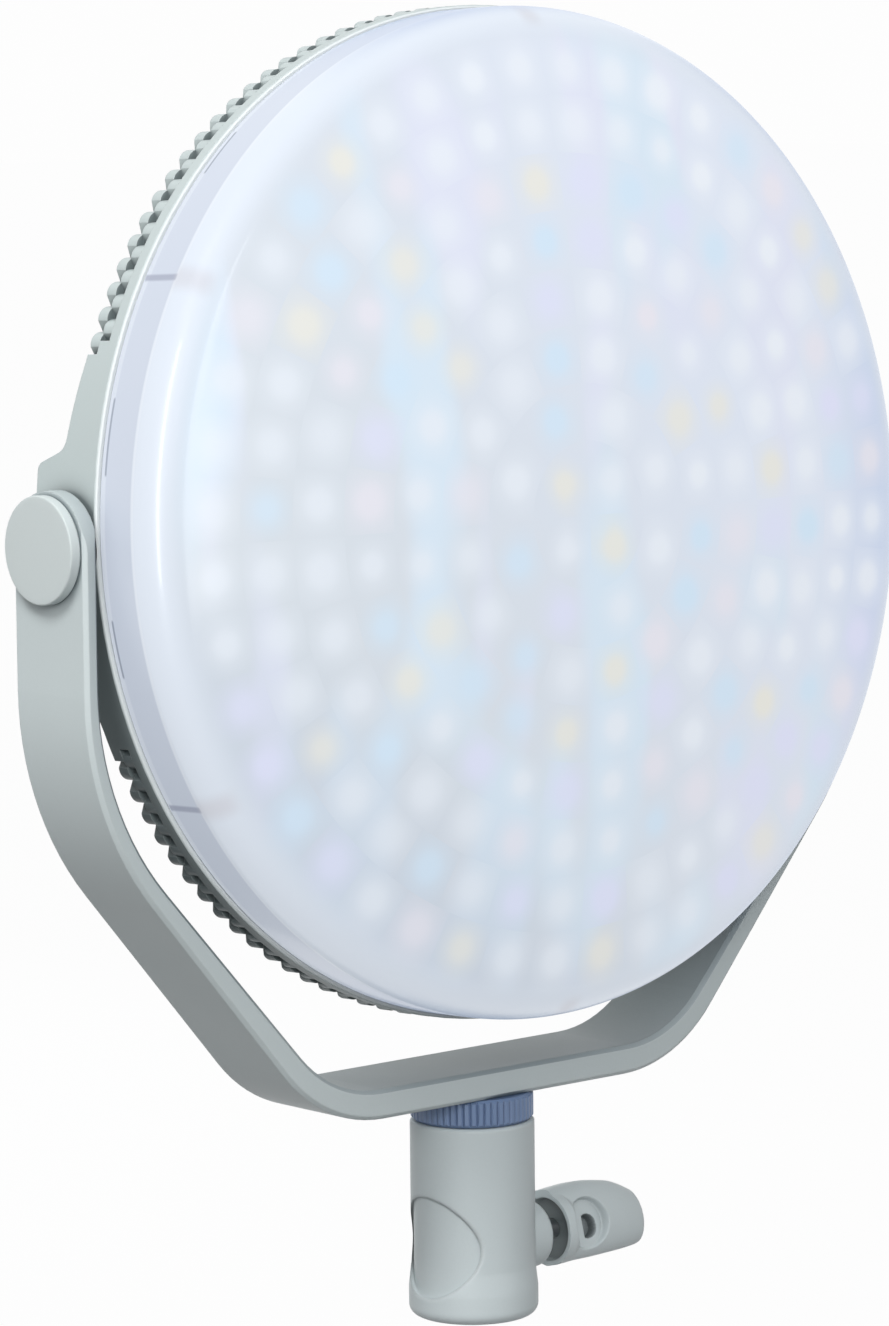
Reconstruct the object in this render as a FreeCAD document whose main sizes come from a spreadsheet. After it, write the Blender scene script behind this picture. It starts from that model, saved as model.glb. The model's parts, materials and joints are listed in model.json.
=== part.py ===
import FreeCAD, Part
import math
import os
import Sketcher
from types import SimpleNamespace
from FreeCAD import Placement, Rotation, Vector

# Round LED panel light on a bent yoke, with a clamp for a stand spigot.
# Frame: origin at the mouth of the stand socket, +Z up, X along the tilt axis,
# the light shines towards -Y. The head is drawn about its own tilt axis and then placed.

os.makedirs("parts", exist_ok=True)
doc = FreeCAD.newDocument("PanelLight")
sheet = doc.addObject("Spreadsheet::Sheet", "sizes")

driving = {
    # stand receiver
    "socketRadius": 8.1, "socketDepth": 42.0, "receiverRadius": 19.5, "receiverHeight": 62.0,
    "skirtFlare": 0.8, "skirtHeight": 9.0, "skirtRun": 7.0, "footRound": 3.5, "edgeBreak": 0.6,
    "neckRadius": 12.0, "neckHeight": 8.0, "reliefRadius": 16.0, "reliefDepth": 0.9,
    "reliefHeight": 23.5,
    # clamp screw, its boss and its wing
    "clampHeight": 21.5, "bossRadius": 10.6, "bossReach": 23.5, "bossNose": 25.5,
    "clampScrewRadius": 3.0, "padRadius": 5.0, "padThickness": 3.2, "padSet": 0.8,
    "padPocket": 4.6, "wingStart": 31.0, "wingHubEnd": 35.0, "wingHubRadius": 11.6,
    "wingNeckEnd": 45.0, "wingNeckRadius": 6.0, "wingCupRadius": 10.0, "wingCupDepth": 3.0,
    "wingScrewDepth": 9.0, "wingEnd": 75.2, "wingTaperStart": 52.0, "wingHalfHeight": 12.4,
    "wingTipHalf": 9.6, "wingTipRound": 8.8, "wingHalfThick": 7.0, "wingEdgeHalf": 2.4,
    "wingScoopCentre": 41.8, "wingScoopRadius": 8.0, "wingScoopHalf": 5.0,
    "wingEyeCentre": 42.6, "wingEyeRadius": 3.6, "wingEyeFlat": 1.6, "wingEyeDepth": 3.8,
    # lock ring, swivel post and thrust washer
    "ringRadius": 19.2, "ringHeight": 8.6, "ringGap": 0.3, "ribDepth": 0.6, "ringBevel": 1.0,
    "postRadius": 6.0, "postGrip": 5.5, "postReach": 15.0, "washerThickness": 1.1, "clipRadius": 8.6,
    "clipThickness": 1.5, "clipRise": 1.2, "drainRadius": 2.0,
    # yoke
    "yokeWidth": 34.0, "armOuter": 161.6, "armThickness": 5.0, "barThickness": 9.2,
    "bendDrop": 78.2, "barHalf": 73.5, "barDrop": 180.3, "armBend": 97.0, "barBend": 51.0,
    "yokeChamfer": 1.2,
    # tilt pivots
    "pivotRadius": 4.0, "bushRadius": 6.5, "bushLength": 10.0, "boltHeadRadius": 8.0,
    "boltHeadThickness": 2.6, "capRadius": 15.2, "capThickness": 5.1, "capEdge": 0.9,
    "capWall": 1.0, "pivotWasherRadius": 15.0,
    "knobRadius": 17.0, "knobThickness": 19.0, "knobHubRadius": 9.0, "knobHub": 3.0,
    "knobEdge": 2.0, "knobScallop": 6.0, "knobScallopDepth": 1.8, "studGrip": 8.0,
    # head shell and its finned rim
    "rimRadius": 155.0, "rimFront": 14.0, "rimBand": 4.5, "tierLength": 4.25, "finDepth": 3.1,
    "finLip": 0.9, "rimBore": 150.0, "ledgeDepth": 6.8, "ledgeBore": 144.0, "rimBevel": 0.7,
    "shellBack": 14.0, "backWall": 3.0, "backRadius": 137.0,
    "earFlare": 54.0, "earNeck": 28.5, "earNeckBack": 2.0, "earNeckRound": 5.0, "earHalf": 24.2,
    "earRound": 2.6, "earDepth": 15.0, "earProud": 0.3, "earDisc": 13.6, "earDiscDepth": 5.0,
    "vaneInner": 108.0, "vaneOuter": 133.0, "vaneHeight": 7.0, "vaneThickness": 2.4,
    "bossRing": 100.0, "screwBoss": 5.0, "screwRadius": 1.8, "screwHead": 3.5, "screwHeadHeight": 2.2,
    # diffuser
    "diffuserRadius": 153.8, "diffuserWall": 2.0, "skirtLength": 15.0, "domeHeight": 26.7,
    "shoulderRadius": 12.0, "spigotRadius": 149.7, "spigotLength": 5.0,
    # light engine
    "reflectorBore": 140.2, "reflectorWall": 1.5, "reflectorTop": 8.7, "reflectorEdge": 149.6,
    "boardRadius": 142.0, "boardThickness": 1.6, "boardFront": 0.5, "chipSide": 5.0,
    "chipHeight": 1.6, "ledOuterRing": 135.0, "ledPitch": 17.3, "spreaderRadius": 141.5,
    "spreaderThickness": 3.0,
    "pegRadius": 1.5, "pegRing": 145.9, "pegLength": 14.3,
    # rear housing and its fascia
    "housingHalfWidth": 88.0, "housingHalfHeight": 58.0, "housingDepth": 30.0,
    "housingCorner": 12.0, "housingWall": 2.5, "postWide": 11.5, "postTall": 10.5,
    "fasciaHalfWidth": 75.0, "fasciaHalfHeight": 48.0, "fasciaThickness": 2.5, "ledgeWidth": 5.0,
    "ledgeThickness": 3.0, "housingScrewInset": 6.5, "housingScrewRadius": 1.5,
    "housingScrewHead": 3.0, "housingScrewLength": 12.0, "housingScrewCap": 1.8,
    # controls
    "windowHalfWidth": 30.0, "windowHalfHeight": 14.0, "windowThickness": 2.0, "windowHeight": 24.0,
    "moduleMargin": 3.0, "moduleThickness": 4.0, "controlBoardGap": 6.9,
    "controlBoardHalfWidth": 69.0, "controlBoardHalfHeight": 42.0, "pillarRadius": 3.0,
    "pillarInset": 5.0,
    "dialOffset": 52.0, "dialHeight": -6.0, "dialRadius": 14.0, "dialLength": 13.4,
    "dialEdge": 1.5, "dialLift": 0.6, "shaftRadius": 3.0, "shaftLength": 15.0, "dialFlute": 2.6,
    "encoderHalf": 6.0, "encoderDepth": 6.5, "buttonPitch": 19.0, "buttonHeight": -34.0,
    "buttonHalfWidth": 6.0, "buttonHalfHeight": 3.5, "buttonProud": 1.6, "buttonFlange": 1.0,
    "buttonGap": 0.2, "switchHalf": 3.0, "switchHeight": 4.4,
    "rockerX": -50.0, "rockerZ": 31.0, "rockerHalfLength": 7.6, "rockerHalfWidth": 4.6,
    "rockerCrown": 3.4, "rockerDip": 2.0, "rockerBelly": 2.2, "rockerTubHalfLength": 9.7,
    "rockerTubHalfWidth": 6.7, "rockerTubDepth": 8.0, "rockerBezel": 1.5, "rockerBezelHeight": 1.5,
    "rockerCavity": 0.9, "rockerPinRadius": 1.0, "rockerPinReach": 1.4, "rockerAxisDepth": 1.0,
    # power board and sockets
    "powerBoardHalfWidth": 60.0, "powerBoardHalfHeight": 35.0, "powerBoardLift": 3.0,
    "capacitorRadius": 5.0, "capacitorHeight": 11.0, "capacitorX": -40.0, "capacitorPitch": 13.0,
    "capacitorZ": 15.0, "coilHalf": 8.0, "coilHeight": 8.0, "coilPitch": 24.0,
    "dcSocketX": -30.0, "socketY": 25.0, "dcRadius": 5.5, "dcLength": 13.0, "dcBore": 2.9,
    "dcBoreDepth": 9.0, "dcPin": 1.0, "dcFlange": 7.0, "dcFlangeThickness": 1.2,
    "usbX": 12.0, "usbHalfWidth": 4.7, "usbHalfHeight": 1.8, "usbLength": 8.0, "usbWall": 0.5,
    "usbTongue": 0.4, "usbBlock": 3.0,
    # clearances
    "runningGap": 0.05, "fitGap": 0.1, "looseGap": 0.3, "overrun": 1.0,
}

# Counts, angles in degrees, and shares of other sizes
counts = {"bendInsetShare": 0.54, "barInsetShare": 0.38, "finPitch": 3.0, "plainAngle": 21.0,
          "finCrestShare": 0.42, "finEdgeShare": 0.7, "finEdgeRiseShare": 0.9, "vaneCount": 48, "shellScrews": 6, "pegCount": 6, "pegStart": 30.0,
          "ringRibs": 54, "ledRings": 8, "ledCorners": 4, "knobScallops": 8, "dialFlutes": 12, "buttonCount": 4,
          "capacitorCount": 3, "coilCount": 2, "headTilt": -2.66, "wingTurn": -15.0, "rockerTilt": 7.0}


# A size carries its value and the sheet expression that it comes from
class Size:
    def __init__(self, value, text):
        self.value = value
        self.text = text

    def __add__(self, other):
        other = asSize(other)
        return Size(self.value + other.value, f"({self.text} + {other.text})")

    def __sub__(self, other):
        other = asSize(other)
        return Size(self.value - other.value, f"({self.text} - {other.text})")

    def __mul__(self, other):
        other = asSize(other)
        return Size(self.value * other.value, f"({self.text} * {other.text})")

    def __truediv__(self, other):
        other = asSize(other)
        return Size(self.value / other.value, f"({self.text} / {other.text})")

    def __neg__(self):
        return Size(-self.value, f"(0 - {self.text})")

    __radd__ = __add__
    __rmul__ = __mul__


def asSize(item):
    return item if isinstance(item, Size) else Size(item, repr(item))


def root(item):
    return Size(math.sqrt(item.value), f"sqrt({item.text})")


for row, (alias, number) in enumerate({**driving, **counts}.items(), start=1):
    sheet.set(f"A{row}", alias)
    sheet.set(f"B{row}", str(number))
    sheet.setAlias(f"B{row}", alias)
doc.recompute()

s = SimpleNamespace(**{alias: Size(number, f"sizes.{alias}") for alias, number in driving.items()})
count = SimpleNamespace(**counts)

zero = asSize(0)
pivotHeight = s.receiverHeight + s.ringHeight + s.ringGap * 2 + s.barDrop
crossbarUnder = s.receiverHeight + s.ringHeight + s.ringGap * 2
armInner = s.armOuter - s.armThickness
rimRear = s.rimBand + s.tierLength * 2 - s.rimFront
earFace = s.rimRadius + s.earProud
housingBack = s.shellBack + s.housingDepth
fasciaBack = housingBack
fasciaFront = housingBack - s.fasciaThickness
controlBoardBack = fasciaFront - s.controlBoardGap
spreaderBack = s.boardThickness + s.spreaderThickness - s.boardFront
diffuserFoot = s.rimFront + s.looseGap
shoulderStart = diffuserFoot + s.skirtLength

# A place is a height above the origin and a turn about X
upright = (zero, 0)
atPivot = (pivotHeight, 0)
atClamp = (s.clampHeight, 0)
wingPlace = (s.clampHeight, count.wingTurn)
headPlace = (pivotHeight, count.headTilt)
subparts = {}


def bind(item, name, amount):
    item.setExpression(name, asSize(amount).text)


def originFeature(body, role):
    return [item for item in body.Origin.OriginFeatures if item.Role == role][0]


# Give a finished object its name and place
def deliver(item, label, place):
    height, turn = place
    item.Label = label
    item.Placement = Placement(Vector(0, 0, height.value), Rotation(Vector(1, 0, 0), turn))
    if height is not zero:
        bind(item, ".Placement.Base.z", height)
    subparts[label] = item
    return item


def newBody(label, place=upright):
    body = doc.addObject("PartDesign::Body", label)
    body.AllowCompound = True
    return deliver(body, label, place)


# Sketch on an origin plane; the plane moves along its normal by lift
def newSketch(body, plane, lift=zero, shiftX=zero, shiftY=zero):
    sketch = body.newObject("Sketcher::SketchObject", "outline")
    sketch.AttachmentSupport = [(originFeature(body, plane), "")]
    sketch.MapMode = "FlatFace"
    for axis, amount in (("x", shiftX), ("y", shiftY), ("z", lift)):
        if asSize(amount) is not zero:
            bind(sketch, f".AttachmentOffset.Base.{axis}", amount)
    return sketch


# Closed outline. A corner is (x, y), or (x, y, radius, centre x, centre y) where an arc follows it.
def drawOutline(sketch, corners):
    corners = [tuple(asSize(item) for item in corner) for corner in corners]
    ends = []
    for index, corner in enumerate(corners):
        after = corners[(index + 1) % len(corners)]
        start = Vector(corner[0].value, corner[1].value, 0)
        end = Vector(after[0].value, after[1].value, 0)
        if len(corner) == 2:
            ends.append((sketch.addGeometry(Part.LineSegment(start, end)), 1, 2))
            continue
        centre = Vector(corner[3].value, corner[4].value, 0)
        first = math.atan2(start.y - centre.y, start.x - centre.x)
        last = math.atan2(end.y - centre.y, end.x - centre.x)
        circle = Part.Circle(centre, Vector(0, 0, 1), corner[2].value)
        if (last - first) % (2 * math.pi) < math.pi:
            ends.append((sketch.addGeometry(Part.ArcOfCircle(circle, first, last)), 1, 2))
        else:
            ends.append((sketch.addGeometry(Part.ArcOfCircle(circle, last, first)), 2, 1))
        radius = sketch.addConstraint(Sketcher.Constraint("Radius", ends[-1][0], corner[2].value))
        bind(sketch, f"Constraints[{radius}]", corner[2])
    for index, (edge, first, last) in enumerate(ends):
        following = ends[(index + 1) % len(ends)]
        sketch.addConstraint(Sketcher.Constraint("Coincident", edge, last, following[0], following[1]))
        for kind, amount in (("DistanceX", corners[index][0]), ("DistanceY", corners[index][1])):
            place = sketch.addConstraint(Sketcher.Constraint(kind, -1, 1, edge, first, amount.value))
            if "sizes" in amount.text:
                bind(sketch, f"Constraints[{place}]", amount)
    return sketch


def drawCircle(sketch, x, y, radius):
    x, y, radius = asSize(x), asSize(y), asSize(radius)
    edge = sketch.addGeometry(Part.Circle(Vector(x.value, y.value, 0), Vector(0, 0, 1), radius.value))
    for kind, amount in (("DistanceX", x), ("DistanceY", y)):
        place = sketch.addConstraint(Sketcher.Constraint(kind, -1, 1, edge, 3, amount.value))
        if "sizes" in amount.text:
            bind(sketch, f"Constraints[{place}]", amount)
    place = sketch.addConstraint(Sketcher.Constraint("Radius", edge, radius.value))
    bind(sketch, f"Constraints[{place}]", radius)
    return sketch


def rectangle(x, y, halfWidth, halfHeight):
    return [(x - halfWidth, y - halfHeight), (x + halfWidth, y - halfHeight),
            (x + halfWidth, y + halfHeight), (x - halfWidth, y + halfHeight)]


# Rectangle with quarter-round corners
def roundedRectangle(halfWidth, halfHeight, corner):
    inX = halfWidth - corner
    inY = halfHeight - corner
    return [(inX, -halfHeight, corner, inX, -inY), (halfWidth, -inY),
            (halfWidth, inY, corner, inX, inY), (inX, halfHeight),
            (-inX, halfHeight, corner, -inX, inY), (-halfWidth, inY),
            (-halfWidth, -inY, corner, -inX, -inY), (-inX, -halfHeight)]


# Round the corners of a closed outline: each corner is (x, y, radius). An arc touches both sides
# at radius / tan(a / 2) from the corner, and its centre lies radius / sin(a) along the sum of the
# two unit vectors away from the corner, where a is the angle between them.
def rounded(corners):
    corners = [tuple(asSize(item) for item in corner) for corner in corners]
    outline = []
    for index, (x, y, radius) in enumerate(corners):
        if radius.value == 0:
            outline.append((x, y))
            continue
        arms = []
        for other in (corners[index - 1], corners[(index + 1) % len(corners)]):
            alongX, alongY = other[0] - x, other[1] - y
            length = root(alongX * alongX + alongY * alongY)
            arms.append((alongX / length, alongY / length))
        (beforeX, beforeY), (afterX, afterY) = arms
        cosine = beforeX * afterX + beforeY * afterY
        reach = radius * root((asSize(1) + cosine) / (asSize(1) - cosine))
        inward = radius / root(asSize(1) - cosine * cosine)
        centre = (x + (beforeX + afterX) * inward, y + (beforeY + afterY) * inward)
        outline.append((x + beforeX * reach, y + beforeY * reach, radius, *centre))
        outline.append((x + afterX * reach, y + afterY * reach))
    return outline


def sweepFeature(body, kind, sketch, length, reverse=False):
    feature = body.newObject(f"PartDesign::{kind}", kind.lower())
    feature.Profile = sketch
    feature.Reversed = reverse
    bind(feature, "Length", length)
    sketch.Visibility = False
    return feature


# Turn a profile about an axis of its sketch
def turnFeature(body, kind, sketch, axis):
    feature = body.newObject(f"PartDesign::{kind}", kind.lower())
    feature.Profile = sketch
    feature.ReferenceAxis = (sketch, [axis])
    feature.Angle = 360
    return feature


def polarFeature(body, feature, axis, number):
    pattern = body.newObject("PartDesign::PolarPattern", "polar")
    pattern.Originals = [feature]
    pattern.Axis = (originFeature(body, axis), [""])
    pattern.Angle = 360
    pattern.Occurrences = number
    body.Tip = pattern
    return pattern


# Solids of revolution: about Y for the head, about X for the pivots, about Z for the stand side
def turnedAboutY(label, corners, place=headPlace):
    body = newBody(label, place)
    turnFeature(body, "Revolution", drawOutline(newSketch(body, "XY_Plane"), corners), "V_Axis")
    return body


def turnedAboutX(label, corners, place):
    body = newBody(label, place)
    turnFeature(body, "Revolution", drawOutline(newSketch(body, "XY_Plane"), corners), "H_Axis")
    return body


def turnedAboutZ(label, corners):
    body = newBody(label)
    turnFeature(body, "Revolution", drawOutline(newSketch(body, "XZ_Plane"), corners), "V_Axis")
    return body


# Cross-section of a washer or sleeve between two places on its axis
def sleeve(start, end, inner, outer):
    return [(start, inner), (end, inner), (end, outer), (start, outer)]


# Prism seen from the back: outline in X and Z, from one depth to the next along Y
def padBack(body, corners, start, end):
    sketch = drawOutline(newSketch(body, "XZ_Plane", -asSize(start)), corners)
    return sweepFeature(body, "Pad", sketch, asSize(end) - start, reverse=True)


def pocketBack(body, sketchDraw, start, end):
    sketch = newSketch(body, "XZ_Plane", -asSize(start))
    sketchDraw(sketch)
    return sweepFeature(body, "Pocket", sketch, asSize(end) - start)


# Stand receiver: socket below, swivel bore above, with a clamp boss and a round relief
def makeReceiver():
    skirt = s.receiverRadius + s.skirtFlare
    neckTop = s.receiverHeight + s.neckHeight
    postBottom = s.receiverHeight - s.postReach
    clipRoom = postBottom + s.clipRise + s.clipThickness + s.looseGap
    chamber = s.clipRadius + s.looseGap
    swivelBore = s.postRadius + s.runningGap
    body = doc.addObject("PartDesign::Body", "receiverCore")
    profile = [
        (s.socketRadius, 0), (skirt - s.footRound, 0, s.footRound, skirt - s.footRound, s.footRound),
        (skirt, s.footRound), (skirt, s.skirtHeight), (s.receiverRadius, s.skirtHeight + s.skirtRun),
        (s.receiverRadius, s.receiverHeight - s.edgeBreak),
        (s.receiverRadius - s.edgeBreak, s.receiverHeight), (s.neckRadius, s.receiverHeight),
        (s.neckRadius, neckTop), (swivelBore, neckTop), (swivelBore, clipRoom), (chamber, clipRoom),
        (chamber, postBottom - s.clipRise), (s.drainRadius, postBottom - s.clipRise),
        (s.drainRadius, s.socketDepth), (s.socketRadius, s.socketDepth)]
    turnFeature(body, "Revolution", drawOutline(newSketch(body, "XZ_Plane"), profile), "V_Axis")
    nose = s.bossNose - s.bossReach
    bossRoot = s.socketRadius + s.padPocket
    boss = [(bossRoot, 0), (bossRoot, s.bossRadius),
            (s.bossReach, s.bossRadius, nose, s.bossReach, s.bossRadius - nose),
            (s.bossNose, s.bossRadius - nose), (s.bossNose, 0)]
    sketch = newSketch(body, "XZ_Plane", shiftY=s.clampHeight)
    turnFeature(body, "Revolution", drawOutline(sketch, boss), "H_Axis")
    for radius, reach in ((s.clampScrewRadius, s.bossNose + s.overrun),
                          (s.padRadius, s.socketRadius + s.padPocket)):
        sketch = drawCircle(newSketch(body, "YZ_Plane"), 0, s.clampHeight, radius + s.runningGap)
        sweepFeature(body, "Pocket", sketch, reach, reverse=True)
    disc = doc.addObject("Part::Cylinder", "reliefDisc")
    bind(disc, "Radius", s.reliefRadius)
    bind(disc, "Height", s.receiverRadius + s.overrun)
    disc.Placement = Placement(Vector(0, 0, s.reliefHeight.value), Rotation(Vector(0, 1, 0), -90))
    bind(disc, ".Placement.Base.z", s.reliefHeight)
    core = doc.addObject("Part::Cylinder", "reliefCore")
    bind(core, "Radius", s.receiverRadius - s.reliefDepth)
    bind(core, "Height", s.receiverHeight)
    shallow = doc.addObject("Part::Cut", "reliefTool")
    shallow.Base, shallow.Tool = disc, core
    receiver = doc.addObject("Part::Cut", "receiver")
    receiver.Base, receiver.Tool = body, shallow
    deliver(receiver, "receiver_body", upright)


# Clamp pad, the screw that pushes it and the wing on the screw's outer end
def makeClamp():
    padStart = s.socketRadius + s.padSet
    padEnd = padStart + s.padThickness
    turnedAboutX("clamp_pad", sleeve(padStart, padEnd, 0, s.padRadius), atClamp)
    turnedAboutX("clamp_screw", sleeve(padEnd + s.runningGap, s.wingStart + s.wingScrewDepth, 0,
                                       s.clampScrewRadius), atClamp)
    makeWing(newBody("clamp_wing", wingPlace))


# Wing: a bulging paddle cut to its outline, a cupped hub, and on each side a scoop with a D-shaped eye
def makeWing(wing):
    tall, flat, thick = s.wingHalfHeight, s.wingEdgeHalf, s.wingHalfThick
    bulge = (tall * tall + (thick - flat) * (thick - flat)) / ((thick - flat) * 2)
    centre = bulge - thick
    section = [(-flat, -tall), (flat, -tall, bulge, -centre, 0), (thick, 0, bulge, -centre, 0),
               (flat, tall), (-flat, tall, bulge, centre, 0), (-thick, 0, bulge, centre, 0)]
    sketch = drawOutline(newSketch(wing, "YZ_Plane", s.wingStart), section)
    sweepFeature(wing, "Pad", sketch, s.wingEnd - s.wingStart)
    beside, beyond = tall + s.overrun, s.wingEnd + s.overrun
    for side in (1, -1):
        waste = [(s.wingTaperStart, tall * side, 0), (s.wingEnd, s.wingTipHalf * side, s.wingTipRound),
                 (s.wingEnd, 0, 0), (beyond, 0, 0), (beyond, beside * side, 0),
                 (s.wingTaperStart, beside * side, 0)]
        sketch = drawOutline(newSketch(wing, "XZ_Plane", beside), rounded(waste))
        sweepFeature(wing, "Pocket", sketch, beside * 2)
    cup = s.wingStart + s.wingCupDepth
    bore = s.clampScrewRadius + s.runningGap
    hub = [(s.wingStart, s.wingCupRadius), (s.wingStart, s.wingHubRadius),
           (s.wingHubEnd, s.wingHubRadius), (s.wingNeckEnd, s.wingNeckRadius),
           (s.wingNeckEnd, 0), (cup, 0), (cup, s.wingCupRadius)]
    turnFeature(wing, "Revolution", drawOutline(newSketch(wing, "XY_Plane"), hub), "H_Axis")
    hollow = [(s.wingStart - s.overrun, 0), (s.wingStart - s.overrun, s.wingCupRadius),
              (cup, s.wingCupRadius), (cup, bore), (s.wingStart + s.wingScrewDepth, bore),
              (s.wingStart + s.wingScrewDepth, 0)]
    turnFeature(wing, "Groove", drawOutline(newSketch(wing, "XY_Plane"), hollow), "H_Axis")
    eye, radius = s.wingEyeCentre, s.wingEyeRadius
    chord = root(radius * radius - s.wingEyeFlat * s.wingEyeFlat)
    for side, turn in ((1, False), (-1, True)):
        scoop = newSketch(wing, "XZ_Plane", s.wingHubRadius * side)
        drawCircle(scoop, s.wingScoopCentre, 0, s.wingScoopRadius)
        sweepFeature(wing, "Pocket", scoop, s.wingHubRadius - s.wingScoopHalf, reverse=turn)
        sketch = newSketch(wing, "XZ_Plane", s.wingScoopHalf * side)
        drawOutline(sketch, [(eye - s.wingEyeFlat, -chord, radius, eye, 0),
                             (eye + radius, 0, radius, eye, 0), (eye - s.wingEyeFlat, chord)])
        sweepFeature(wing, "Pocket", sketch, s.wingEyeDepth, reverse=turn)


# Swivel: the ribbed lock ring round the neck, the post, its washer and its clip
def makeSwivel():
    ringBottom = s.receiverHeight + s.ringGap
    ring = newBody("lock_ring")
    inner = s.neckRadius + s.runningGap
    profile = [(inner, ringBottom), (s.ringRadius - s.ringBevel, ringBottom),
               (s.ringRadius, ringBottom + s.ringBevel),
               (s.ringRadius, ringBottom + s.ringHeight - s.ringBevel),
               (s.ringRadius - s.ringBevel, ringBottom + s.ringHeight),
               (inner, ringBottom + s.ringHeight)]
    turnFeature(ring, "Revolution", drawOutline(newSketch(ring, "XZ_Plane"), profile), "V_Axis")
    valley = s.ringRadius - s.ribDepth
    mouth = s.ringRadius + s.ribDepth
    groove = [(valley, 0), (mouth, -s.ribDepth * 2), (mouth, s.ribDepth * 2)]
    sketch = drawOutline(newSketch(ring, "XY_Plane", ringBottom - s.overrun), groove)
    cut = sweepFeature(ring, "Pocket", sketch, s.ringHeight + s.overrun * 2, reverse=True)
    polarFeature(ring, cut, "Z_Axis", count.ringRibs)
    postBottom = s.receiverHeight - s.postReach
    turnedAboutZ("swivel_post", [(0, postBottom), (s.postRadius, postBottom),
                                 (s.postRadius, crossbarUnder + s.postGrip),
                                 (0, crossbarUnder + s.postGrip)])
    turnedAboutZ("thrust_washer", upend(sleeve(crossbarUnder - s.washerThickness, crossbarUnder,
                                               s.postRadius + s.runningGap, s.neckRadius - s.fitGap)))
    clipBottom = postBottom + s.clipRise
    turnedAboutZ("post_clip", upend(sleeve(clipBottom, clipBottom + s.clipThickness,
                                           s.postRadius + s.runningGap, s.clipRadius)))


# Swap the two coordinates of a cross-section, from along X to along Z
def upend(corners):
    return [(corner[1], corner[0]) for corner in corners]


# Yoke: two upright arms, two sloping runs and a crossbar, bent from one bar that thickens downwards
def makeYoke():
    yoke = newBody("yoke", atPivot)
    half = s.yokeWidth / 2
    top = half + s.yokeChamfer
    innerDrop = s.bendDrop - s.armThickness * count.bendInsetShare
    innerHalf = s.barHalf - s.barThickness * count.barInsetShare
    barTop = s.barDrop - s.barThickness
    right = [(s.barHalf, -s.barDrop), (s.armOuter, -s.bendDrop), (s.armOuter, top), (armInner, top),
             (armInner, -innerDrop), (innerHalf, -barTop)]
    left = [(-x, z) for x, z in reversed(right)]
    sketch = drawOutline(newSketch(yoke, "XZ_Plane", -half), right + left)
    bar = sweepFeature(yoke, "Pad", sketch, s.yokeWidth)
    doc.recompute()
    bends = ((s.armBend, s.armOuter, s.bendDrop), (s.armBend - s.armThickness, armInner, innerDrop),
             (s.barBend, s.barHalf, s.barDrop), (s.barBend - s.barThickness, innerHalf, barTop))
    for radius, x, drop in bends:
        names = edgesNear(bar, lambda p, x=x, drop=drop: near(abs(p.x), x) and near(p.z, -drop))
        bend = yoke.newObject("PartDesign::Fillet", "bend")
        bend.Base = (bar, names)
        bind(bend, "Radius", radius)
        doc.recompute()
        bar = bend
    bevel = yoke.newObject("PartDesign::Chamfer", "bevel")
    bevel.Base = (bar, [f"Edge{place}" for place, edge in enumerate(bar.Shape.Edges, start=1)
                        if near(abs(edge.CenterOfMass.y), half)])
    bind(bevel, "Size", s.yokeChamfer)
    crown = [(-half, 0, half, 0, 0), (0, half, half, 0, 0), (half, 0), (half + s.overrun, 0),
             (half + s.overrun, top + s.overrun), (-half - s.overrun, top + s.overrun),
             (-half - s.overrun, 0)]
    reach = s.armOuter + s.overrun
    sketch = drawOutline(newSketch(yoke, "YZ_Plane", -reach), crown)
    sweepFeature(yoke, "Pocket", sketch, reach * 2, reverse=True)
    sketch = drawCircle(newSketch(yoke, "YZ_Plane", -reach), 0, 0, s.pivotRadius + s.runningGap)
    sweepFeature(yoke, "Pocket", sketch, reach * 2, reverse=True)
    sketch = drawCircle(newSketch(yoke, "XY_Plane", -s.barDrop), 0, 0, s.postRadius + s.runningGap)
    sweepFeature(yoke, "Pocket", sketch, s.postGrip + s.fitGap, reverse=True)


def near(first, second):
    return abs(asSize(first).value - asSize(second).value) < s.runningGap.value


# Names of the edges that run along Y through a place
def edgesNear(feature, test):
    edges = feature.Shape.Edges
    return [f"Edge{place}" for place, edge in enumerate(edges, start=1)
            if test(edge.CenterOfMass) and near(edge.Vertexes[0].Z, edge.Vertexes[-1].Z)
            and near(edge.Vertexes[0].X, edge.Vertexes[-1].X)]


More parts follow.
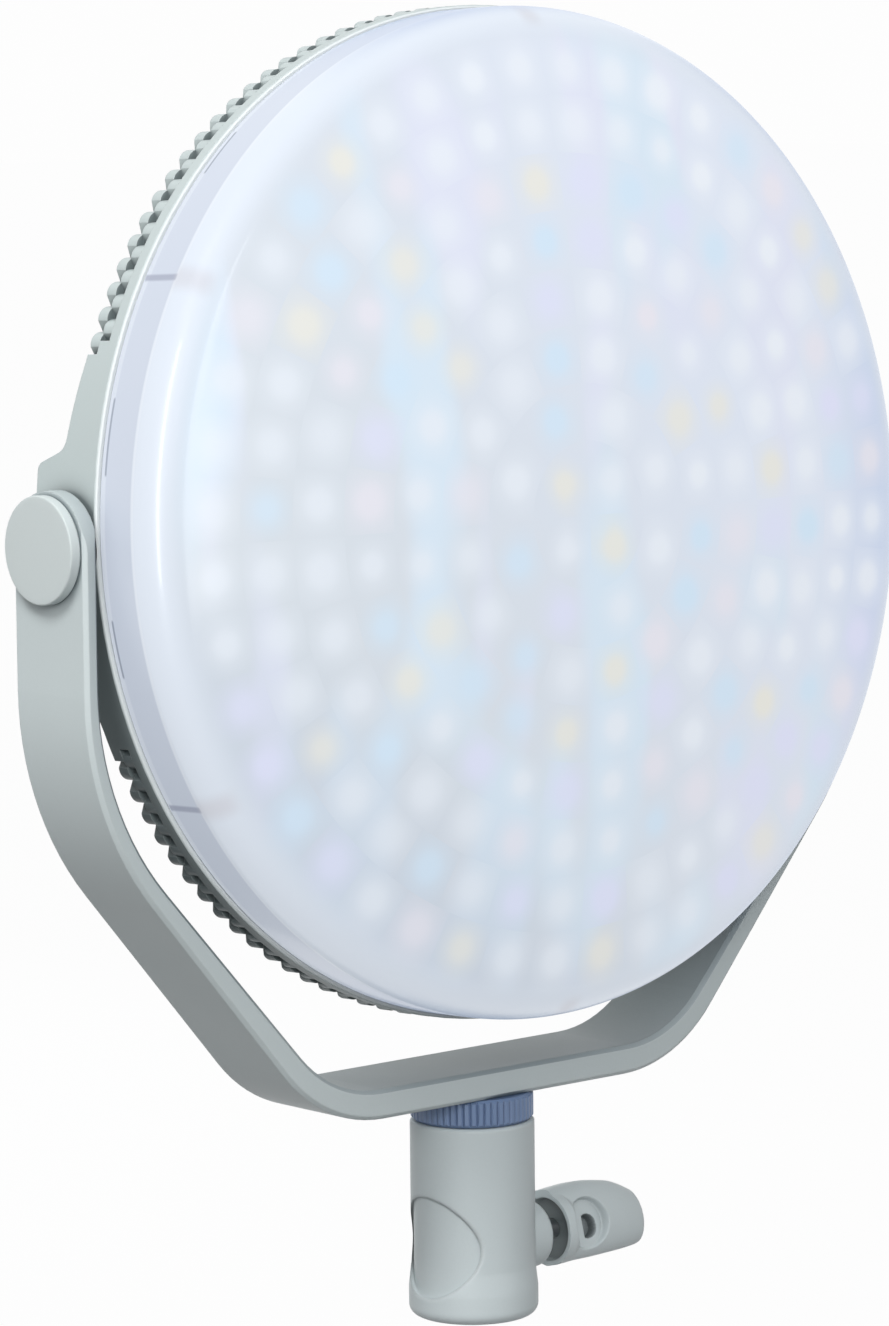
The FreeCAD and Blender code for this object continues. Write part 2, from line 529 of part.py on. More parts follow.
# Pivot pieces along the tilt axis; the left side has a plain cap, the right side the lock knob
def makePivots():
    bushEnd = earFace - s.bushLength
    bore = s.pivotRadius + s.runningGap
    headEnd = s.armOuter + s.boltHeadThickness
    bolt = [(-bushEnd, 0), (-bushEnd, s.pivotRadius), (-s.armOuter, s.pivotRadius),
            (-s.armOuter, s.boltHeadRadius), (-headEnd, s.boltHeadRadius), (-headEnd, 0)]
    turnedAboutX("left_pivot_bolt", bolt, atPivot)
    capEnd = s.armOuter + s.capThickness
    hollow = capEnd - s.capWall
    edge, shoulder = s.capEdge - capEnd, s.capRadius - s.capEdge
    cap = [(-s.armOuter, s.boltHeadRadius + s.capWall), (-s.armOuter, s.capRadius),
           (edge, s.capRadius, s.capEdge, edge, shoulder), (-capEnd, shoulder), (-capEnd, 0),
           (-hollow, 0), (-hollow, s.boltHeadRadius + s.capWall)]
    turnedAboutX("left_pivot_cap", cap, atPivot)
    washerStart = earFace + s.runningGap * 4
    for side, mirror in (("left", -1), ("right", 1)):
        washer = sleeve(washerStart * mirror, armInner * mirror, bore, s.pivotWasherRadius)
        turnedAboutX(f"{side}_pivot_washer", washer, atPivot)
        bush = sleeve(bushEnd * mirror, earFace * mirror, bore, s.bushRadius)
        turnedAboutX(f"{side}_pivot_bush", bush, headPlace)
    knobStart = s.armOuter + s.washerThickness
    turnedAboutX("knob_washer", sleeve(s.armOuter, knobStart - s.fitGap, bore, s.knobHubRadius), atPivot)
    turnedAboutX("tilt_stud", sleeve(bushEnd, knobStart + s.studGrip, 0, s.pivotRadius), atPivot)
    knobEnd = knobStart + s.knobThickness
    grip = knobStart + s.knobHub
    knob = newBody("tilt_knob", atPivot)
    profile = [(knobStart, bore), (knobStart, s.knobHubRadius), (grip, s.knobHubRadius),
               (grip, s.knobRadius - s.knobEdge), (grip + s.knobEdge, s.knobRadius),
               (knobEnd - s.knobEdge, s.knobRadius), (knobEnd, s.knobRadius - s.knobEdge), (knobEnd, 0),
               (knobStart + s.studGrip, 0), (knobStart + s.studGrip, bore)]
    turnFeature(knob, "Revolution", drawOutline(newSketch(knob, "XY_Plane"), profile), "H_Axis")
    centre = s.knobRadius + s.knobScallop - s.knobScallopDepth
    sketch = drawCircle(newSketch(knob, "YZ_Plane", grip - s.overrun), centre, 0, s.knobScallop)
    cut = sweepFeature(knob, "Pocket", sketch, s.knobThickness + s.overrun, reverse=True)
    polarFeature(knob, cut, "X_Axis", count.knobScallops)


# One tier of rim fins: convex teeth between sharp valleys that deepen towards the back.
# The rim stays plain near the tilt axis. Each tooth rises in an arc from its valley over its crest to an
# edge, and from there a flat side, which faces the nearer ear, falls to the next valley.
def finTier(name, front, offset):
    rim = s.rimRadius.value
    floor = rim - s.finDepth.value
    length = s.tierLength.value
    span = 180 - 2 * count.plainAngle
    teeth = int(span / count.finPitch) - 1
    start = count.plainAngle + (span - teeth * count.finPitch) / 2 + offset

    def at(radius, angle):
        turn = math.radians(angle)
        return Vector(radius * math.cos(turn), front.value, radius * math.sin(turn))

    edges = []
    for side in (0, 180):
        for tooth in range(teeth):
            angle = side + start + tooth * count.finPitch
            shares = [0, count.finCrestShare, count.finEdgeShare, 1]
            rounds = tooth * 2 > teeth
            turns = [angle + count.finPitch * (share if rounds else 1 - share) for share in shares]
            edgeRadius = floor + s.finDepth.value * count.finEdgeRiseShare
            arc = Part.Arc(at(floor, turns[0]), at(rim, turns[1]), at(edgeRadius, turns[2])).toShape()
            flat = Part.makeLine(at(edgeRadius, turns[2]), at(floor, turns[3]))
            edges += [arc, flat] if rounds else [flat, arc]
        end = side + start + teeth * count.finPitch
        following = side + 180 + start
        edges.append(Part.makeLine(at(floor, end), at(rim, end)))
        edges.append(Part.Arc(at(rim, end), at(rim, (end + following) / 2), at(rim, following)).toShape())
        edges.append(Part.makeLine(at(rim, following), at(floor, following)))
    backwards = Vector(0, 1, 0)
    teethPrism = Part.Face(Part.Wire(edges)).extrude(backwards * length)
    place = Vector(0, front.value, 0)
    ramp = Part.makeCone(rim - s.finLip.value, floor, length, place, backwards)
    bore = Part.makeCylinder(((s.rimBore + s.rimRadius - s.finDepth) / 2).value, length, place, backwards)
    boreRadius = (s.bushRadius + s.runningGap).value
    axle = Part.makeCylinder(boreRadius, rim * 2, Vector(-rim, 0, 0), Vector(1, 0, 0))
    tier = doc.addObject("Part::Feature", name)
    tier.Shape = teethPrism.fuse(ramp).cut([bore, axle])
    return tier


# Rear shell: finned rim, sloping back, ears at the tilt axis, cooling vanes and screw bosses
def makeShell():
    body = doc.addObject("PartDesign::Body", "shellCore")
    core = s.rimRadius - s.finDepth
    tierFront = s.rimBand - s.rimFront
    outside = [(0, -s.rimFront), (s.rimRadius - s.rimBevel, -s.rimFront),
               (s.rimRadius, s.rimBevel - s.rimFront), (s.rimRadius, tierFront), (core, tierFront),
               (core, rimRear), (s.backRadius, s.shellBack), (0, s.shellBack)]
    turnFeature(body, "Revolution", drawOutline(newSketch(body, "XY_Plane"), outside), "V_Axis")
    flare = [(tierFront, s.earFlare, 0), (rimRear, s.earFlare, 0),
             (s.earNeckBack, s.earNeck, s.earNeckRound), (s.shellBack, s.earHalf, s.earRound)]
    ear = rounded(flare + [(y, -z, radius) for y, z, radius in reversed(flare)])
    for lift in (-earFace, earFace - s.earDepth):
        sketch = drawOutline(newSketch(body, "YZ_Plane", lift), ear)
        sweepFeature(body, "Pad", sketch, s.earDepth)
    outer = earFace + s.earHalf
    trim = [(s.rimRadius, tierFront - s.overrun), (outer, tierFront - s.overrun),
            (outer, s.shellBack + s.overrun), (s.rimRadius, s.shellBack + s.overrun)]
    turnFeature(body, "Groove", drawOutline(newSketch(body, "XY_Plane"), trim), "V_Axis")
    for lift in (-earFace, earFace - s.earDiscDepth):
        sketch = drawCircle(newSketch(body, "YZ_Plane", lift), 0, 0, s.earDisc)
        sweepFeature(body, "Pad", sketch, s.earDiscDepth)
    inside = [(0, -s.rimFront - s.overrun), (s.rimBore, -s.rimFront - s.overrun),
              (s.rimBore, s.ledgeDepth - s.rimFront), (s.ledgeBore, s.ledgeDepth - s.rimFront),
              (s.ledgeBore, spreaderBack + s.fitGap),
              (s.backRadius - s.backWall, s.shellBack - s.backWall), (0, s.shellBack - s.backWall)]
    turnFeature(body, "Groove", drawOutline(newSketch(body, "XY_Plane"), inside), "V_Axis")
    bosses = newSketch(body, "XZ_Plane", s.backWall - s.shellBack)
    for x, z in aroundRing(s.bossRing, count.shellScrews, 0):
        drawCircle(bosses, x, z, s.screwBoss)
    sweepFeature(body, "Pad", bosses, s.shellBack - s.backWall - spreaderBack)
    pads = newSketch(body, "XZ_Plane", -s.shellBack)
    for x, z in boardCorners(s.powerBoardHalfWidth, s.powerBoardHalfHeight):
        drawCircle(pads, x, z, s.pillarRadius)
    sweepFeature(body, "Pad", pads, s.powerBoardLift, reverse=True)
    middle = (s.vaneInner + s.vaneOuter) / 2
    vane = padBack(body, rectangle(middle, zero, (s.vaneOuter - s.vaneInner) / 2, s.vaneThickness / 2),
                   s.shellBack, s.shellBack + s.vaneHeight)
    polarFeature(body, vane, "Y_Axis", count.vaneCount)
    holes = newSketch(body, "XZ_Plane", -spreaderBack)
    for x, z in aroundRing(s.bossRing, count.shellScrews, 0):
        drawCircle(holes, x, z, s.screwRadius + s.runningGap)
    sweepFeature(body, "Pocket", holes, s.shellBack + s.overrun)
    for lift in (-earFace - s.overrun, earFace - s.earDepth - s.overrun):
        sketch = drawCircle(newSketch(body, "YZ_Plane", lift), 0, 0, s.bushRadius + s.runningGap)
        sweepFeature(body, "Pocket", sketch, s.earDepth + s.overrun * 2, reverse=True)
    tiers = [finTier("frontTier", tierFront, 0),
             finTier("rearTier", tierFront + s.tierLength, count.finPitch / 2)]
    shell = doc.addObject("Part::MultiFuse", "shell")
    shell.Shapes = [body] + tiers
    deliver(shell, "rear_shell", headPlace)


# Places spaced evenly round a ring in the head's face
def aroundRing(radius, number, start):
    turns = [math.radians(start + 360 / number * place) for place in range(number)]
    return [(radius * math.cos(turn), radius * math.sin(turn)) for turn in turns]


# Four places set in from a board's corners
def boardCorners(halfWidth, halfHeight):
    return [((halfWidth - s.pillarInset) * x, (halfHeight - s.pillarInset) * z)
            for x in (-1, 1) for z in (-1, 1)]


# Opal diffuser: a straight skirt, a tight shoulder arc and a shallow crown arc, 2 mm thick.
# The crown's radius follows from its height above the shoulder's centre.
def makeDiffuser():
    ring = s.diffuserRadius - s.shoulderRadius
    rise = s.domeHeight
    crown = ((ring * ring + rise * rise - s.shoulderRadius * s.shoulderRadius)
             / ((rise - s.shoulderRadius) * 2))
    crownCentre = crown - rise - shoulderStart
    along = crown - s.shoulderRadius
    unitX = ring / along
    unitY = (crownCentre + shoulderStart) / along

    def tangent(radius):
        return ring + unitX * radius, -shoulderStart - unitY * radius

    wall = s.diffuserWall
    inner = s.shoulderRadius - wall
    apex = -shoulderStart - rise
    foot = s.spigotLength - s.rimFront
    skirt = s.diffuserRadius
    profile = [
        (s.spigotRadius - wall, foot), (s.spigotRadius, foot), (s.spigotRadius, -diffuserFoot),
        (skirt, -diffuserFoot), (skirt, -shoulderStart, s.shoulderRadius, ring, -shoulderStart),
        (*tangent(s.shoulderRadius), crown, 0, crownCentre), (0, apex),
        (0, apex + wall, crown - wall, 0, crownCentre),
        (*tangent(inner), inner, ring, -shoulderStart), (skirt - wall, -shoulderStart),
        (skirt - wall, -diffuserFoot - wall), (s.spigotRadius - wall, -diffuserFoot - wall)]
    turnedAboutY("diffuser", profile)


# Light engine: reflector sleeve, LED board and chips, heat spreader, diffuser pegs
def makeEngine():
    boardBack = s.boardThickness - s.boardFront
    turnedAboutY("led_board", [(0, -s.boardFront), (s.boardRadius, -s.boardFront),
                               (s.boardRadius, boardBack), (0, boardBack)])
    turnedAboutY("heat_spreader", [(0, boardBack), (s.spreaderRadius, boardBack),
                                   (s.spreaderRadius, spreaderBack), (0, spreaderBack)])
    wall = s.reflectorBore + s.reflectorWall
    ledge = s.ledgeDepth - s.rimFront
    turnedAboutY("reflector", [(s.reflectorBore, -s.boardFront), (s.reflectorBore, -s.reflectorTop),
                               (s.reflectorEdge, -s.reflectorTop), (s.reflectorEdge, ledge), (wall, ledge),
                               (wall, -s.boardFront)])
    pegs = newBody("diffuser_pegs", headPlace)
    sketch = newSketch(pegs, "XZ_Plane", s.reflectorTop)
    for x, z in aroundRing(s.pegRing, count.pegCount, count.pegStart):
        drawCircle(sketch, x, z, s.pegRadius)
    sweepFeature(pegs, "Pad", sketch, s.pegLength)
    chips = []
    for ring in range(count.ledRings):
        number = chipsInRing(count.ledRings - ring)
        radius = s.ledOuterRing - s.ledPitch * ring
        corner = Vector(-s.chipSide.value / 2, -(s.boardFront + s.chipHeight).value, -s.chipSide.value / 2)
        for x, z in aroundRing(radius, number, 180 / number):
            chips.append(Part.makeBox(s.chipSide.value, s.chipHeight.value, s.chipSide.value,
                                      corner + Vector(x.value, 0, z.value)))
    group = doc.addObject("Part::Feature", "chips")
    group.Shape = Part.makeCompound(chips)
    deliver(group, "led_chips", headPlace)
    screws = newBody("shell_screws", headPlace)
    shafts = newSketch(screws, "XZ_Plane", -s.shellBack)
    heads = newSketch(screws, "XZ_Plane", -s.shellBack)
    for x, z in aroundRing(s.bossRing, count.shellScrews, 0):
        drawCircle(shafts, x, z, s.screwRadius)
        drawCircle(heads, x, z, s.screwHead)
    sweepFeature(screws, "Pad", shafts, s.shellBack - spreaderBack)
    sweepFeature(screws, "Pad", heads, s.screwHeadHeight, reverse=True)


# Chips in a ring, counted from the middle: 4, 8, 16, 20, 28 and so on, near six more per ring and
# always the same in each quarter
def chipsInRing(ring):
    quarters = count.ledCorners
    return quarters * ((6 * ring - 2) // quarters)


# Rear housing with corner posts and a recess for the fascia
def makeHousing():
    wide, tall = s.housingHalfWidth, s.housingHalfHeight
    body = newBody("rear_housing", headPlace)
    padBack(body, roundedRectangle(wide, tall, s.housingCorner), s.shellBack, housingBack)
    floor = fasciaFront - s.ledgeThickness
    inWide, inTall = wide - s.housingWall, tall - s.housingWall
    for halfWidth, halfHeight in ((inWide, tall - s.postTall - s.housingWall),
                                  (wide - s.postWide - s.housingWall, inTall)):
        pocketBack(body, lambda sketch, w=halfWidth, t=halfHeight:
                   drawOutline(sketch, rectangle(zero, zero, w, t)), s.shellBack - s.overrun, floor)
    recessWide, recessTall = s.fasciaHalfWidth + s.fitGap, s.fasciaHalfHeight + s.fitGap
    pocketBack(body, lambda sketch: drawOutline(sketch, rectangle(zero, zero, recessWide, recessTall)),
               fasciaFront, fasciaBack + s.overrun)
    openWide, openTall = s.fasciaHalfWidth - s.ledgeWidth, s.fasciaHalfHeight - s.ledgeWidth
    pocketBack(body, lambda sketch: drawOutline(sketch, rectangle(zero, zero, openWide, openTall)),
               floor - s.overrun, fasciaBack)
    sketch = drawCircle(newSketch(body, "XY_Plane", -tall - s.overrun), s.dcSocketX, s.socketY,
                        s.dcRadius + s.fitGap)
    sweepFeature(body, "Pocket", sketch, s.housingWall + s.overrun * 2, reverse=True)
    sketch = drawOutline(newSketch(body, "XY_Plane", -tall - s.overrun),
                         rectangle(s.usbX, s.socketY, s.usbHalfWidth + s.fitGap, s.usbHalfHeight + s.fitGap))
    sweepFeature(body, "Pocket", sketch, s.housingWall + s.overrun * 2, reverse=True)
    sketch = newSketch(body, "XZ_Plane", -housingBack - s.overrun)
    screws = housingScrewPlaces()
    for x, z in screws:
        drawCircle(sketch, x, z, s.housingScrewRadius + s.runningGap)
    sweepFeature(body, "Pocket", sketch, s.housingScrewLength + s.overrun, reverse=True)
    screwBody = newBody("housing_screws", headPlace)
    for radius, length, reverse in ((s.housingScrewRadius, s.housingScrewLength, False),
                                    (s.housingScrewHead, s.housingScrewCap, True)):
        sketch = newSketch(screwBody, "XZ_Plane", -housingBack)
        for x, z in screws:
            drawCircle(sketch, x, z, radius)
        sweepFeature(screwBody, "Pad", sketch, length, reverse=reverse)


def housingScrewPlaces():
    return [((s.housingHalfWidth - s.housingScrewInset) * x, (s.housingHalfHeight - s.housingScrewInset) * z)
            for x in (-1, 1) for z in (-1, 1)]


# Fascia plate with its window, shaft holes, button slots, rocker hole and board pillars
def makeFascia():
    body = newBody("fascia", headPlace)
    padBack(body, rectangle(zero, zero, s.fasciaHalfWidth, s.fasciaHalfHeight), fasciaFront, fasciaBack)
    pillars = newSketch(body, "XZ_Plane", -fasciaFront)
    for x, z in boardCorners(s.controlBoardHalfWidth, s.controlBoardHalfHeight):
        drawCircle(pillars, x, z, s.pillarRadius)
    sweepFeature(body, "Pad", pillars, s.controlBoardGap)

    def slots(sketch):
        slotWidth, slotHeight = s.buttonHalfWidth + s.buttonGap, s.buttonHalfHeight + s.buttonGap
        drawOutline(sketch, rectangle(zero, s.windowHeight, s.windowHalfWidth + s.fitGap,
                                      s.windowHalfHeight + s.fitGap))
        for side in (-1, 1):
            drawCircle(sketch, s.dialOffset * side, s.dialHeight, s.shaftRadius + s.fitGap)
        for x in buttonPlaces():
            drawOutline(sketch, rectangle(x, s.buttonHeight, slotWidth, slotHeight))
        drawOutline(sketch, rectangle(s.rockerX, s.rockerZ, s.rockerTubHalfLength + s.fitGap,
                                      s.rockerTubHalfWidth + s.fitGap))

    pocketBack(body, slots, fasciaFront - s.overrun, fasciaBack + s.overrun)


def buttonPlaces():
    return [s.buttonPitch * (place - (count.buttonCount - 1) / 2) for place in range(count.buttonCount)]


# Display, control board, encoders with their dials, buttons and switches
def makeControls():
    window = newBody("display_window", headPlace)
    padBack(window, rectangle(zero, s.windowHeight, s.windowHalfWidth, s.windowHalfHeight),
            fasciaBack - s.windowThickness, fasciaBack)
    module = newBody("display_module", headPlace)
    padBack(module, rectangle(zero, s.windowHeight, s.windowHalfWidth + s.moduleMargin,
                              s.windowHalfHeight + s.moduleMargin),
            fasciaFront - s.moduleThickness, fasciaFront)
    board = newBody("control_board", headPlace)
    boardFace = rectangle(zero, zero, s.controlBoardHalfWidth, s.controlBoardHalfHeight)
    padBack(board, boardFace, controlBoardBack - s.boardThickness, controlBoardBack)
    for side, mirror in (("left", -1), ("right", 1)):
        x = s.dialOffset * mirror
        encoder = newBody(f"{side}_encoder", headPlace)
        padBack(encoder, rectangle(x, s.dialHeight, s.encoderHalf, s.encoderHalf),
                controlBoardBack, controlBoardBack + s.encoderDepth)
        shaftStart = controlBoardBack + s.encoderDepth + s.runningGap
        shaft = newBody(f"{side}_shaft", headPlace)
        sketch = drawCircle(newSketch(shaft, "XZ_Plane", -shaftStart), x, s.dialHeight, s.shaftRadius)
        sweepFeature(shaft, "Pad", sketch, s.shaftLength, reverse=True)
        makeDial(f"{side}_dial", x, shaftStart + s.shaftLength)
    for place, x in enumerate(buttonPlaces(), start=1):
        button = newBody(f"button_{place}", headPlace)
        flangeBack = fasciaFront - s.looseGap
        flangeFace = rectangle(x, s.buttonHeight, s.buttonHalfWidth + s.buttonFlange,
                               s.buttonHalfHeight + s.buttonFlange)
        padBack(button, flangeFace, flangeBack - s.buttonFlange, flangeBack)
        padBack(button, rectangle(x, s.buttonHeight, s.buttonHalfWidth, s.buttonHalfHeight),
                flangeBack, fasciaBack + s.buttonProud)
    switches = newBody("button_switches", headPlace)
    sketch = newSketch(switches, "XZ_Plane", -controlBoardBack)
    for x in buttonPlaces():
        drawOutline(sketch, rectangle(x, s.buttonHeight, s.switchHalf, s.switchHalf))
    sweepFeature(switches, "Pad", sketch, s.switchHeight, reverse=True)


# Fluted dial that turns about its own shaft
def makeDial(label, x, shaftEnd):
    dial = newBody(label, headPlace)
    front = fasciaBack + s.dialLift
    back = front + s.dialLength
    bore = s.shaftRadius + s.runningGap
    profile = [(bore, front), (s.dialRadius, front), (s.dialRadius, back - s.dialEdge),
               (s.dialRadius - s.dialEdge, back), (0, back), (0, shaftEnd + s.fitGap),
               (bore, shaftEnd + s.fitGap)]
    sketch = newSketch(dial, "XY_Plane", s.dialHeight, shiftX=x)
    turnFeature(dial, "Revolution", drawOutline(sketch, profile), "V_Axis")
    flutes = newSketch(dial, "XZ_Plane", -front - s.dialEdge)
    for dx, dz in aroundRing(s.dialRadius, count.dialFlutes, 0):
        drawCircle(flutes, x + dx, s.dialHeight + dz, s.dialFlute / 2)
    sweepFeature(dial, "Pocket", flutes, s.dialLength)


# Power rocker on pins in its frame; its pivot lies just under the fascia's face
def makeRocker():
    frame = newBody("rocker_frame", headPlace)
    tubLength, tubWidth = s.rockerTubHalfLength, s.rockerTubHalfWidth
    padBack(frame, rectangle(s.rockerX, s.rockerZ, tubLength, tubWidth),
            fasciaBack - s.rockerTubDepth, fasciaBack)
    padBack(frame, rectangle(s.rockerX, s.rockerZ, tubLength + s.rockerBezel, tubWidth + s.rockerBezel),
            fasciaBack, fasciaBack + s.rockerBezelHeight)
    cavityLength = s.rockerHalfLength + s.rockerCavity
    cavityWidth = s.rockerHalfWidth + s.looseGap
    pocketBack(frame, lambda sketch: drawOutline(sketch, rectangle(s.rockerX, s.rockerZ, cavityLength,
                                                                   cavityWidth)),
               fasciaBack - s.rockerTubDepth + s.rockerBezel, fasciaBack + s.rockerBezelHeight + s.overrun)
    axisY = fasciaBack - s.rockerAxisDepth
    pinHalf = s.rockerHalfWidth + s.rockerPinReach
    sketch = drawCircle(newSketch(frame, "XY_Plane", s.rockerZ - pinHalf - s.fitGap), s.rockerX, axisY,
                        s.rockerPinRadius + s.runningGap)
    sweepFeature(frame, "Pocket", sketch, pinHalf * 2 + s.fitGap * 2, reverse=True)
    rocker = newBody("power_rocker", headPlace)
    lean = math.radians(count.rockerTilt)
    cosine, sine = math.cos(lean), math.sin(lean)
    outline = []
    for x, y in ((s.rockerHalfLength, -s.rockerBelly), (s.rockerHalfLength, s.rockerCrown),
                 (zero, s.rockerDip), (-s.rockerHalfLength, s.rockerCrown),
                 (-s.rockerHalfLength, -s.rockerBelly)):
        outline.append((s.rockerX + x * cosine + y * sine, axisY - x * sine + y * cosine))
    sketch = drawOutline(newSketch(rocker, "XY_Plane", s.rockerZ - s.rockerHalfWidth), outline)
    sweepFeature(rocker, "Pad", sketch, s.rockerHalfWidth * 2)
    sketch = newSketch(rocker, "XY_Plane", s.rockerZ - pinHalf)
    drawCircle(sketch, s.rockerX, axisY, s.rockerPinRadius)
    sweepFeature(rocker, "Pad", sketch, pinHalf * 2)


# Power board with its larger components, and the two sockets in the housing's lower wall
def makePower():
    boardFront = s.shellBack + s.powerBoardLift
    boardBack = boardFront + s.boardThickness
    board = newBody("power_board", headPlace)
    boardFace = rectangle(zero, zero, s.powerBoardHalfWidth, s.powerBoardHalfHeight)
    padBack(board, boardFace, boardFront, boardBack)
    components = newBody("power_components", headPlace)
    cans = newSketch(components, "XZ_Plane", -boardBack)
    for place in range(count.capacitorCount):
        drawCircle(cans, s.capacitorX + s.capacitorPitch * place, s.capacitorZ, s.capacitorRadius)
    sweepFeature(components, "Pad", cans, s.capacitorHeight, reverse=True)
    coils = newSketch(components, "XZ_Plane", -boardBack)
    for place in range(count.coilCount):
        drawOutline(coils, rectangle(s.coilHalf + s.coilPitch * place, s.coilHalf, s.coilHalf, s.coilHalf))
    sweepFeature(components, "Pad", coils, s.coilHeight, reverse=True)
    bottom = -s.housingHalfHeight
    jack = newBody("dc_socket", headPlace)
    for radius, start, length in ((s.dcRadius, bottom, s.dcLength),
                                  (s.dcFlange, bottom + s.housingWall, s.dcFlangeThickness)):
        sketch = drawCircle(newSketch(jack, "XY_Plane", start), s.dcSocketX, s.socketY, radius)
        sweepFeature(jack, "Pad", sketch, length)
    sketch = newSketch(jack, "XY_Plane", bottom)
    drawCircle(sketch, s.dcSocketX, s.socketY, s.dcBore)
    drawCircle(sketch, s.dcSocketX, s.socketY, s.dcPin)
    sweepFeature(jack, "Pocket", sketch, s.dcBoreDepth, reverse=True)
    usb = newBody("usb_socket", headPlace)
    sketch = drawOutline(newSketch(usb, "XY_Plane", bottom),
                         rectangle(s.usbX, s.socketY, s.usbHalfWidth, s.usbHalfHeight))
    sweepFeature(usb, "Pad", sketch, s.usbLength)
    blockWidth, blockHeight = s.usbHalfWidth + s.usbBlock, s.usbHalfHeight + s.usbBlock
    sketch = drawOutline(newSketch(usb, "XY_Plane", bottom + s.housingWall + s.fitGap),
                         rectangle(s.usbX, s.socketY, blockWidth, blockHeight))
    sweepFeature(usb, "Pad", sketch, s.usbLength - s.housingWall)
    sketch = newSketch(usb, "XY_Plane", bottom)
    drawOutline(sketch, rectangle(s.usbX, s.socketY, s.usbHalfWidth - s.usbWall, s.usbHalfHeight - s.usbWall))
    drawOutline(sketch, rectangle(s.usbX, s.socketY, s.usbHalfWidth / 2, s.usbTongue))
    sweepFeature(usb, "Pocket", sketch, s.usbLength - s.usbBlock / 2, reverse=True)


makers = (makeReceiver, makeClamp, makeSwivel, makeYoke, makePivots, makeShell, makeDiffuser, makeEngine,
          makeHousing, makeFascia, makeControls, makeRocker, makePower)
for make in makers:
    make()
    doc.recompute()
    print(make.__name__, len(subparts), "sub-parts so far")

failed = [item.Name for item in doc.Objects if "Invalid" in item.State or "Error" in item.State]
for label, item in subparts.items():
    if item.Shape.isNull() or not item.Shape.isValid() or not item.Shape.Solids:
        failed.append(label)
if failed:
    raise RuntimeError(f"failed objects: {failed}")

for label, item in subparts.items():
    item.Shape.exportStep(f"parts/{label}.step")
    print(label, len(item.Shape.Solids), "solid(s)", round(item.Shape.Volume, 1), "mm3")
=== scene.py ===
import json
import math
import bpy
import bmesh
import numpy as np
from mathutils import Matrix, Vector


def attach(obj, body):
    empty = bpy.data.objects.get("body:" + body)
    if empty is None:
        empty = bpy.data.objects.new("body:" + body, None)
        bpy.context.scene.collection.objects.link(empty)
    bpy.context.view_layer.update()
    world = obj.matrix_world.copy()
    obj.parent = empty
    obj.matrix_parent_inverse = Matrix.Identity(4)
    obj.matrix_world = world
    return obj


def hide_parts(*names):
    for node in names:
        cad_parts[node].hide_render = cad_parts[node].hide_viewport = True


# Round LED panel light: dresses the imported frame, which already holds every solid at its place.
# All lengths are in metres. The head's own coordinates start at the tilt axis, with its face towards -Y.

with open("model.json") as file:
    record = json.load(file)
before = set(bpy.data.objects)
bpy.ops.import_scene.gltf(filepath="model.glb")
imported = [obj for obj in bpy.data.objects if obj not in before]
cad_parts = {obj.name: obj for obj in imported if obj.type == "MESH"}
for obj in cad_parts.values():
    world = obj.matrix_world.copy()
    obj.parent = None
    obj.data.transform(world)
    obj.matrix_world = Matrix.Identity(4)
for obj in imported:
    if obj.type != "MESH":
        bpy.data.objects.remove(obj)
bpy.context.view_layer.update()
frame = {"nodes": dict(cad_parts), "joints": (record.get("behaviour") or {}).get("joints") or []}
nodes = frame["nodes"]
joints = {joint["name"]: joint for joint in frame["joints"]}
print("frame loaded,", len(nodes), "nodes")

pivotHeight = joints["tilt"]["pos_m"][2]
headAxis = joints["left_dial_turn"]["axis"]
headTilt = math.atan2(headAxis[2], headAxis[1])
clampHeight = joints["clamp_turn"]["pos_m"][2]


# ---- geometry helpers

# Head coordinates to the frame's: a turn by the tilt about X, then a rise to the tilt axis
def fromHead(points):
    points = np.asarray(points, float)
    cosine, sine = math.cos(headTilt), math.sin(headTilt)
    x, y, z = points[..., 0], points[..., 1], points[..., 2]
    return np.stack([x, cosine * y - sine * z, pivotHeight + sine * y + cosine * z], -1)


def intoHead(points):
    x, y, z = np.asarray(points, float).T
    cosine, sine = math.cos(headTilt), math.sin(headTilt)
    rise = z - pivotHeight
    return np.stack([x, cosine * y + sine * rise, cosine * rise - sine * y], -1)


def nodePoints(name):
    mesh = nodes[name].data
    points = np.empty(len(mesh.vertices) * 3)
    mesh.vertices.foreach_get("co", points)
    return points.reshape(-1, 3)


# Mesh from a grid of points, rows by columns; a closed direction joins its last line to its first.
# Ends that come together in a point are merged, and the faces are turned outwards.
def gridPiece(name, grid, closeRows=False, closeColumns=False, sharpAngle=None):
    rows, columns = grid.shape[:2]
    index = np.arange(rows * columns).reshape(rows, columns)
    if closeRows:
        index = np.vstack([index, index[:1]])
    if closeColumns:
        index = np.hstack([index, index[:, :1]])
    faces = np.stack([index[:-1, :-1], index[1:, :-1], index[1:, 1:], index[:-1, 1:]], -1).reshape(-1, 4)
    mesh = bpy.data.meshes.new(name)
    mesh.from_pydata(grid.reshape(-1, 3).tolist(), [], faces.tolist())
    return finishPiece(name, mesh, sharpAngle=sharpAngle)


def finishPiece(name, mesh, smooth=True, sharpAngle=None):
    work = bmesh.new()
    work.from_mesh(mesh)
    bmesh.ops.remove_doubles(work, verts=work.verts, dist=1e-6)
    bmesh.ops.dissolve_degenerate(work, edges=work.edges, dist=1e-7)
    bmesh.ops.recalc_face_normals(work, faces=work.faces)
    work.to_mesh(mesh)
    work.free()
    mesh.polygons.foreach_set("use_smooth", [smooth] * len(mesh.polygons))
    if sharpAngle:
        mesh.set_sharp_from_angle(angle=math.radians(sharpAngle))
    piece = bpy.data.objects.new(name, mesh)
    bpy.context.scene.collection.objects.link(piece)
    return piece


